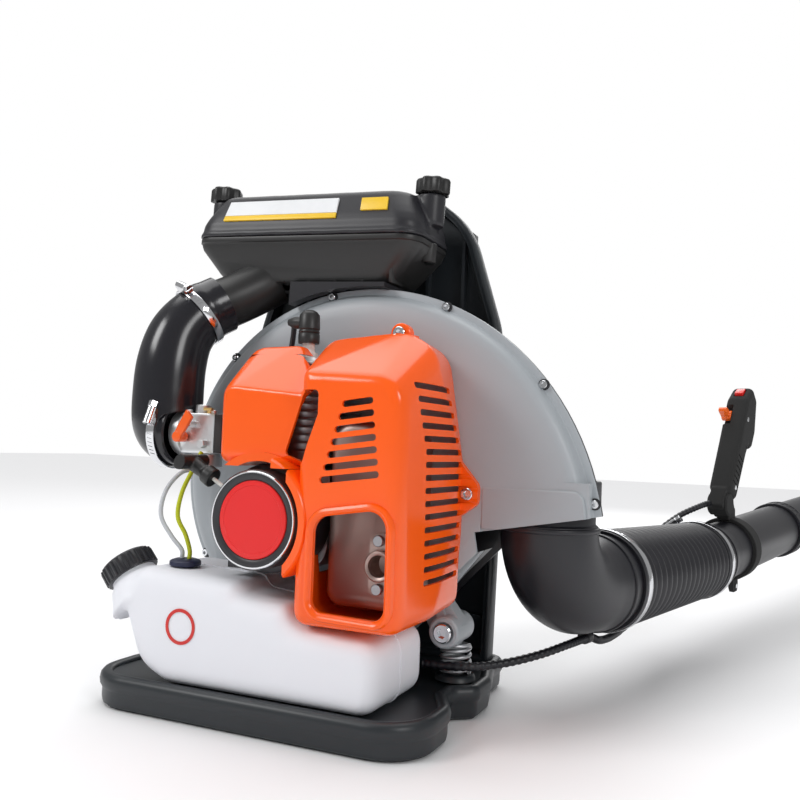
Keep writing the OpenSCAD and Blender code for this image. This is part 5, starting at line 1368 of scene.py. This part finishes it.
def build_tubes():
    """Control tube, extension tube and nozzle"""
    r = TUBE_R
    taper = [(-12, 42.8, 40.6), (-11, 43, 40.6), (22, 42.8, 40.6), (26, 42.4, 40), (40, 39.6, 37.6), (52, 37.3, 35),
             (56, r, 35), (TUBE_LENGTH - 1, r, 35), (TUBE_LENGTH, r - 0.8, 35)]
    tube = pipe([(tube_point(0, b, 0), TUBE_DIR, o, i) for b, o, i in taper])
    bead = turned([(17, 42.6), (17, 43.6), (19.4, 43.6), (19.4, 42.4)], TUBE_START, TUBE_DIR, 96)
    lugs = [hull([TUBE_END + TUBE_DIR * b + TUBE_SIDE * a * s + TUBE_UP * s * c for a in (-4, 4) for b in (-14, -6)
                  for c in (r - 0.5, r + 2.4)]) for s in (-1, 1)]
    finished(joined("tube", [tube, bead] + lugs), "control_tube_duct", "duct_black", "blow_tube", "control_tube",
             angle=30, edge=0.3)
    clamp = worm_clamp(hose_point(0, 259, 0), HOSE_DIR, 46.2, 9, toward=(-0.6, 0, 0.8))
    finished(joined("clamp", clamp), "hose_clamp_at_tube", "clamp_steel", "blow_tube", "hose_clamp_front", angle=34)
    for name, node, body, origin, length, taper_to in (("extension_tube_duct", "extension_tube", "extension",
                                                        TUBE_END, 320, 0), ("nozzle_duct", "nozzle", "nozzle_tip",
                                                                            NOZZLE_START, 330, 6.6)):
        stations = [(0.6, r - 0.4), (length * 0.35, r - 0.4), (length - 3, r - 0.4 - taper_to),
                    (length - 1, r - 0.6 - taper_to), (length, r - 1.2 - taper_to)]
        duct = pipe([(origin + TUBE_DIR * b, TUBE_DIR, o, o - 2) for b, o in stations])
        extra = [hull([origin + TUBE_DIR * (length - b) + TUBE_SIDE * a * s + TUBE_UP * s * c for a in (-4, 4)
                       for b in (14, 6) for c in (r - 1, r + 2)])
                 for s in (-1, 1)] if node == "extension_tube" else [turned([(length - 8, 29), (length - 7, 31.4),
                                                                             (length - 1, 31.6), (length, 30.8),
                                                                             (length, 28.4), (length - 8, 28.2)],
                                                                            origin, TUBE_DIR, 96)]
        finished(joined("duct", [duct] + extra + socket_ring(origin, r)), name, "duct_black", body, node, angle=30)


GRIP_LEAN = math.radians(34)
GRIP_SPOT = (108, 78)


def grip_point(a, b, c):
    """Across, forward and up the leaning handle."""
    y = GRIP_SPOT[1] + b * math.cos(GRIP_LEAN) + c * math.sin(GRIP_LEAN)
    z = TUBE_R + 16 - b * math.sin(GRIP_LEAN) + c * math.cos(GRIP_LEAN)
    return tube_point(a, y, z)


def seat_point(a, b, c):
    """Across, along and above the stop switch's slanted seat."""
    lean = math.radians(65)
    return grip_point(a, -15.5 + b * math.cos(lean) - c * math.sin(lean), 178 + b * math.sin(lean)
                      + c * math.cos(lean))


def grip_slab(corners, levels, steps=6):
    """A side outline (forward, up) given levels (place across, inset)."""
    return lofted([[grip_point(w, u, v) for u, v in rounded(inset(corners, d), steps)] for w, d in levels])


def build_grip():
    """Handle with trigger, cruise lever and stop switch"""
    side = [(-17, 22, 8), (15, 22, 8), (17, 96, 20), (20, 112, 4), (33, 112, 8), (34, 142, 16), (16, 186, 8),
            (-9, 192, 6), (-22, 164, 10), (-19, 96, 30)]
    body = grip_slab(side, [(-15, 7), (-14, 4), (-11.4, 1.2), (-8, 0), (8, 0), (11.4, 1.2), (14, 4), (15, 7)])
    foot = hull_box(grip_point, (-10, 10), (-19, 15), (-2, 26))
    cheek = [hull([tube_point(a, GRIP_SPOT[0] + u, v) for a in (-8, 8)
                   for u, v in ((-11, TUBE_R + 1), (11, TUBE_R + 1), (11, TUBE_R + 15), (-8, TUBE_R + 40),
                                (-44, TUBE_R + 22))])]
    band = pipe([(tube_point(0, GRIP_SPOT[0] + b, 0), TUBE_DIR, o, TUBE_R + 0.1) for b, o in
                 ((-11, TUBE_R + 4.2), (-10, TUBE_R + 5), (10, TUBE_R + 5), (11, TUBE_R + 4.2))])
    ears = [hull([tube_point(s * 8 + a, GRIP_SPOT[0] + b, c) for a in (-3, 3) for b in (-10, 10)
                  for c in (-TUBE_R - 2, -TUBE_R - 14)] + [tube_point(s * 8 + a, GRIP_SPOT[0] + b, -TUBE_R - 19.6)
                                                           for a in (-3, 3) for b in (-6, 6)]) for s in (-1, 1)]
    body = moulded([body, foot] + cheek, 1.4, 7)
    knuckle = [rod(grip_point(-13, -1, 10), grip_point(13, -1, 10), 15, 48, 2)]
    body = combined(body, knuckle)
    cuts = [hull_box(grip_point, (-6.2, 6.2), (2, 42), (70, 111)),
            hull_box(grip_point, (-17, -3), (-30, -8), (124, 154))]
    cuts.append(hull_box(seat_point, (-6.8, 6.8), (-9, 9), (-9, 21)))
    for k in range(6):
        z = 40 + k * 8
        for s in (-1, 1):
            cuts.append(hull([grip_point(s * a, b, z + c) for a in (13.6, 16) for b in (-12, 10) for c in (-1, 1)]))
    body = carved(body, cuts)
    pin = rod(grip_point(-15.4, 9, 104), grip_point(15.4, 9, 104), 1.9, 20)
    finished(joined("grip", [body, pin, band] + ears), "handle_grip_moulding", "grip_black", "blow_tube",
             "handle_grip", angle=38)
    screws = [rod(grip_point(12.4, -6, 140), grip_point(15.4, -6, 140), 3.2, 20, 0.4)]
    screws += [rod(grip_point(s * 11.8, 0, 36), grip_point(s * 15.5, 0, 36), 3.2, 20, 0.4) for s in (-1, 1)]
    screws.append(rod(tube_point(-13, GRIP_SPOT[0], -TUBE_R - 12), tube_point(13, GRIP_SPOT[0], -TUBE_R - 12), 3.4, 6,
                      0.3))
    finished(joined("screws", screws), "grip_screws", "screw_steel", "blow_tube", angle=30)

    blade = grip_slab([(6, 101, 2), (12, 106, 2), (26, 100, 3), (28.6, 76, 3), (22, 73, 3), (16, 92, 6)][::-1],
                      [(-5.6, 2), (-4.6, 0.6), (-3, 0), (3, 0), (4.6, 0.6), (5.6, 2)])
    hub = rod(grip_point(-5.6, 9, 104), grip_point(5.6, 9, 104), 5, 32, 0.6)
    trigger = carved(combined(blade, [hub]), [rod(grip_point(-7, 9, 104), grip_point(7, 9, 104), 2)])
    finished(trigger, "throttle_trigger_moulding", "trigger_red", "trigger", "throttle_trigger", angle=40)
    disc = rod(grip_point(-16.8, -16, 139), grip_point(-3.8, -16, 139), 7, 40, 0.8)
    arm = hull([grip_point(a, b, c) for a in (-16.4, -6.2) for b, c in ((-16, 134), (-16, 143), (-35, 134.4),
                                                                        (-36.4, 137.5), (-35, 141))])
    finished(combined(disc, [arm]), "cruise_lever_moulding", "lever_orange", "cruise", "cruise_lever", angle=36,
             edge=0.6)
    rocker = hull([seat_point(a, b, c) for a in (-5.6, 5.6) for b, c in ((-7, -5), (7, -5), (-7, 3.4), (7, 2.4),
                                                                         (0, 1.6), (-6, 3.6))])
    finished(rocker, "stop_switch_rocker", "switch_red", "switch", "stop_switch", angle=30, edge=0.6)


def build_cables():
    """Both lengths of the ribbed cable sleeve"""
    sizes = bpy.context.scene.blower_sizes
    r = sizes.cable_width / MM / 2
    lower = [(112, 2, 44), (150, 6, 45), (178, 28, 47), (204, 58, 52), (224, 88, 58), (232, 106.1, 60),
             (236, 120.5, 60)]
    upper = [(236.1, 120.8, 60), (238, 127.6, 59.6), (242.5, 144, 54), (246, 180, 50), (250, 226, 50), (254, 280, 54),
             (254, 330, 68), (248, 372, 98), (256, 410, 132), (284, 436, 160), (312, 452, 176), (324, 459, 180)]
    for name, node, points, bodies in (("cable_sleeve_at_engine", "throttle_cable_lower", lower,
                                        ("machine", "elbow")), ("cable_sleeve_at_hose", "throttle_cable_upper", upper,
                                                                ("elbow", "blow_tube"))):
        coarse = smooth_path(points, 24)
        length = sum((coarse[i + 1] - coarse[i]).length for i in range(len(coarse) - 1))
        turns = round(length / 5)
        radii = [r * (0.93 + 0.09 * math.cos(2 * math.pi * turns * i / (len(coarse) - 1)))
                 for i in range(len(coarse))]
        cable = swept(coarse, radii, 16)
        finished(cable, name, "cable_black", None, node, angle=60)
        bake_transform(cable)


# ---------- stage ----------
def build_stage():
    """Pale floor, soft lights and camera"""
    sizes = bpy.context.scene.blower_sizes
    half = sizes.floor_size / 2
    floor = solid("floor", [(x * half / MM, y * half / MM, 0) for x, y in ((-1, -1), (1, -1), (1, 1), (-1, 1))],
                  [(0, 1, 2, 3)])
    floor.location.z = -0.0006
    paint = bpy.data.materials.new("floor_pale")
    paint.use_nodes = True
    shader = paint.node_tree.nodes["Principled BSDF"]
    shader.inputs["Base Color"].default_value = (0.88, 0.88, 0.89, 1)
    shader.inputs["Roughness"].default_value = 0.8
    floor.data.materials.append(paint)
    world = bpy.data.worlds.new("studio")
    bpy.context.scene.world = world
    world.use_nodes = True
    tree = world.node_tree
    room = tree.nodes["Background"]
    room.inputs["Strength"].default_value = sizes.room_light
    room.inputs["Color"].default_value = (1, 1, 1, 1)
    backdrop = tree.nodes.new("ShaderNodeBackground")
    backdrop.inputs["Color"].default_value = (1, 1, 1, 1)
    seen = tree.nodes.new("ShaderNodeLightPath").outputs["Is Camera Ray"]
    either = tree.nodes.new("ShaderNodeMixShader")
    tree.links.new(seen, either.inputs[0])
    tree.links.new(room.outputs[0], either.inputs[1])
    tree.links.new(backdrop.outputs[0], either.inputs[2])
    tree.links.new(either.outputs[0], tree.nodes["World Output"].inputs["Surface"])
    bpy.context.scene.view_settings.view_transform = "Standard"
    aim = Vector((0.10, 0.15, 0.24))
    for name, spot, width, power in (("left softbox", (-1.5, -1.7, 1.9), 0.9, 26),
                                     ("right softbox", (2.0, -1.2, 1.3), 0.7, 13),
                                     ("back rim", (-0.3, 2.4, 1.5), 1.4, 14)):
        light = bpy.data.lights.new(name, "AREA")
        light.size = width
        light.energy = power * sizes.lamp_share
        lamp = bpy.data.objects.new(name, light)
        lamp.location = spot
        lamp.rotation_euler = (aim - Vector(spot)).to_track_quat("-Z", "Y").to_euler()
        bpy.context.scene.collection.objects.link(lamp)
    sky = bpy.data.objects.new("even overhead", bpy.data.lights.new("even overhead", "SUN"))
    sky.data.energy = 1.9 * sizes.lamp_share
    sky.data.angle = math.radians(65)
    sky.rotation_euler = (math.radians(-14), math.radians(-10), 0)
    bpy.context.scene.collection.objects.link(sky)
    camera = bpy.data.objects.new("camera", bpy.data.cameras.new("camera"))
    camera.data.lens = sizes.lens
    camera.data.sensor_width = 36
    heading, pitch, roll = (math.radians(a) for a in (23.8, 93, 2.2))
    camera.matrix_world = (Matrix.Translation((0.402, -0.730, 0.240)) @ Matrix.Rotation(heading, 4, "Z")
                           @ Matrix.Rotation(pitch, 4, "X") @ Matrix.Rotation(roll, 4, "Z"))
    bpy.context.scene.collection.objects.link(camera)
    bpy.context.scene.camera = camera


# ---------- add-on ----------
class BlowerSizes(bpy.types.PropertyGroup):
    base_lip: bpy.props.FloatProperty(name="Base lip", description="Height of the rounded lip round the base",
                                      default=0.0075, min=0.004, max=0.01, unit="LENGTH")
    spring_wire: bpy.props.FloatProperty(name="Spring wire", description="Radius of the mount springs' wire",
                                         default=0.0017, min=0.001, max=0.002, unit="LENGTH")
    hose_ribs: bpy.props.IntProperty(name="Hose ribs", description="Corrugations along the flexible hose", default=17,
                                     min=12, max=22)
    cable_width: bpy.props.FloatProperty(name="Cable width", description="Diameter of the throttle cable's sleeve",
                                         default=0.008, min=0.006, max=0.009, unit="LENGTH")
    pad_pressure: bpy.props.FloatProperty(name="Pad pressure", description="Pressure that fills the back pad",
                                          default=4.0, min=0, max=8)
    floor_size: bpy.props.FloatProperty(name="Floor size", description="Width of the pale floor", default=14.0,
                                        unit="LENGTH")
    room_light: bpy.props.FloatProperty(name="Room light", description="Strength of the even light", default=0.36,
                                        min=0)
    lamp_share: bpy.props.FloatProperty(name="Lamp power", description="Share of the softboxes' full power",
                                        default=1.0, min=0)
    lens: bpy.props.FloatProperty(name="Lens", description="Focal length of the camera in millimetres", default=38.6,
                                  min=20)


def colour_property(label, slot):
    """A panel colour that starts as the slot's own."""
    return bpy.props.FloatVectorProperty(name=label, description=f"Colour of the {label.lower()}", subtype="COLOR",
                                         size=3, default=linear(FINISHES[slot][1]), min=0, max=1)


class BlowerColours(bpy.types.PropertyGroup):
    cover_orange: colour_property("Engine cover", "cover_orange")
    housing_grey: colour_property("Fan housing", "housing_grey")
    tank_white: colour_property("Fuel tank", "tank_white")
    frame_black: colour_property("Base and backrest", "frame_black")
    badge_red: colour_property("Starter disc", "badge_red")
    trigger_red: colour_property("Throttle trigger", "trigger_red")


STEPS = [
    ("base", "Base and backrest", build_base),
    ("harness", "Harness", build_harness),
    ("springs", "Mount springs", build_springs),
    ("housing", "Fan housing", build_housing),
    ("cover", "Engine cover", build_cover),
    ("starter", "Recoil starter", build_starter),
    ("engine", "Engine", build_engine),
    ("carburettor", "Carburettor", build_carburettor),
    ("tank", "Fuel tank", build_tank),
    ("air_box", "Air cleaner", build_air_box),
    ("intake", "Intake elbow", build_intake),
    ("elbow", "Outlet elbow", build_elbow),
    ("hose", "Flexible hose", build_hose),
    ("tubes", "Blow tubes", build_tubes),
    ("grip", "Throttle grip", build_grip),
    ("cables", "Throttle cable", build_cables),
    ("stage", "Stage", build_stage),
]


def step_operator(key, label, build):
    """An operator class that makes one group of pieces."""

    def execute(self, context):
        build()
        return {"FINISHED"}

    return type(f"BLOWER_OT_{key}", (bpy.types.Operator,), {
        "bl_idname": f"blower.{key}", "bl_label": label, "__doc__": build.__doc__, "execute": execute})


OPERATORS = [step_operator(*step) for step in STEPS]


class BLOWER_PT_panel(bpy.types.Panel):
    """Lists the sizes, the colours and the build steps."""
    bl_label = "Backpack Leaf Blower"
    bl_idname = "BLOWER_PT_panel"
    bl_space_type = "VIEW_3D"
    bl_region_type = "UI"
    bl_category = "Blower"

    def draw(self, context):
        for group in (context.scene.blower_sizes, context.scene.blower_colours):
            box = self.layout.box()
            for name in group.bl_rna.properties.keys():
                if name not in ("rna_type", "name"):
                    box.prop(group, name)
        for operator in OPERATORS:
            self.layout.operator(operator.bl_idname)


CLASSES = [BlowerSizes, BlowerColours, *OPERATORS, BLOWER_PT_panel]


def register():
    for item in CLASSES:
        bpy.utils.register_class(item)
    bpy.types.Scene.blower_sizes = bpy.props.PointerProperty(type=BlowerSizes)
    bpy.types.Scene.blower_colours = bpy.props.PointerProperty(type=BlowerColours)


def unregister():
    del bpy.types.Scene.blower_colours
    del bpy.types.Scene.blower_sizes
    for item in reversed(CLASSES):
        bpy.utils.unregister_class(item)


def main():
    register()
    for key, *_ in STEPS:
        getattr(bpy.ops.blower, key)()


if __name__ == "__main__":
    main()
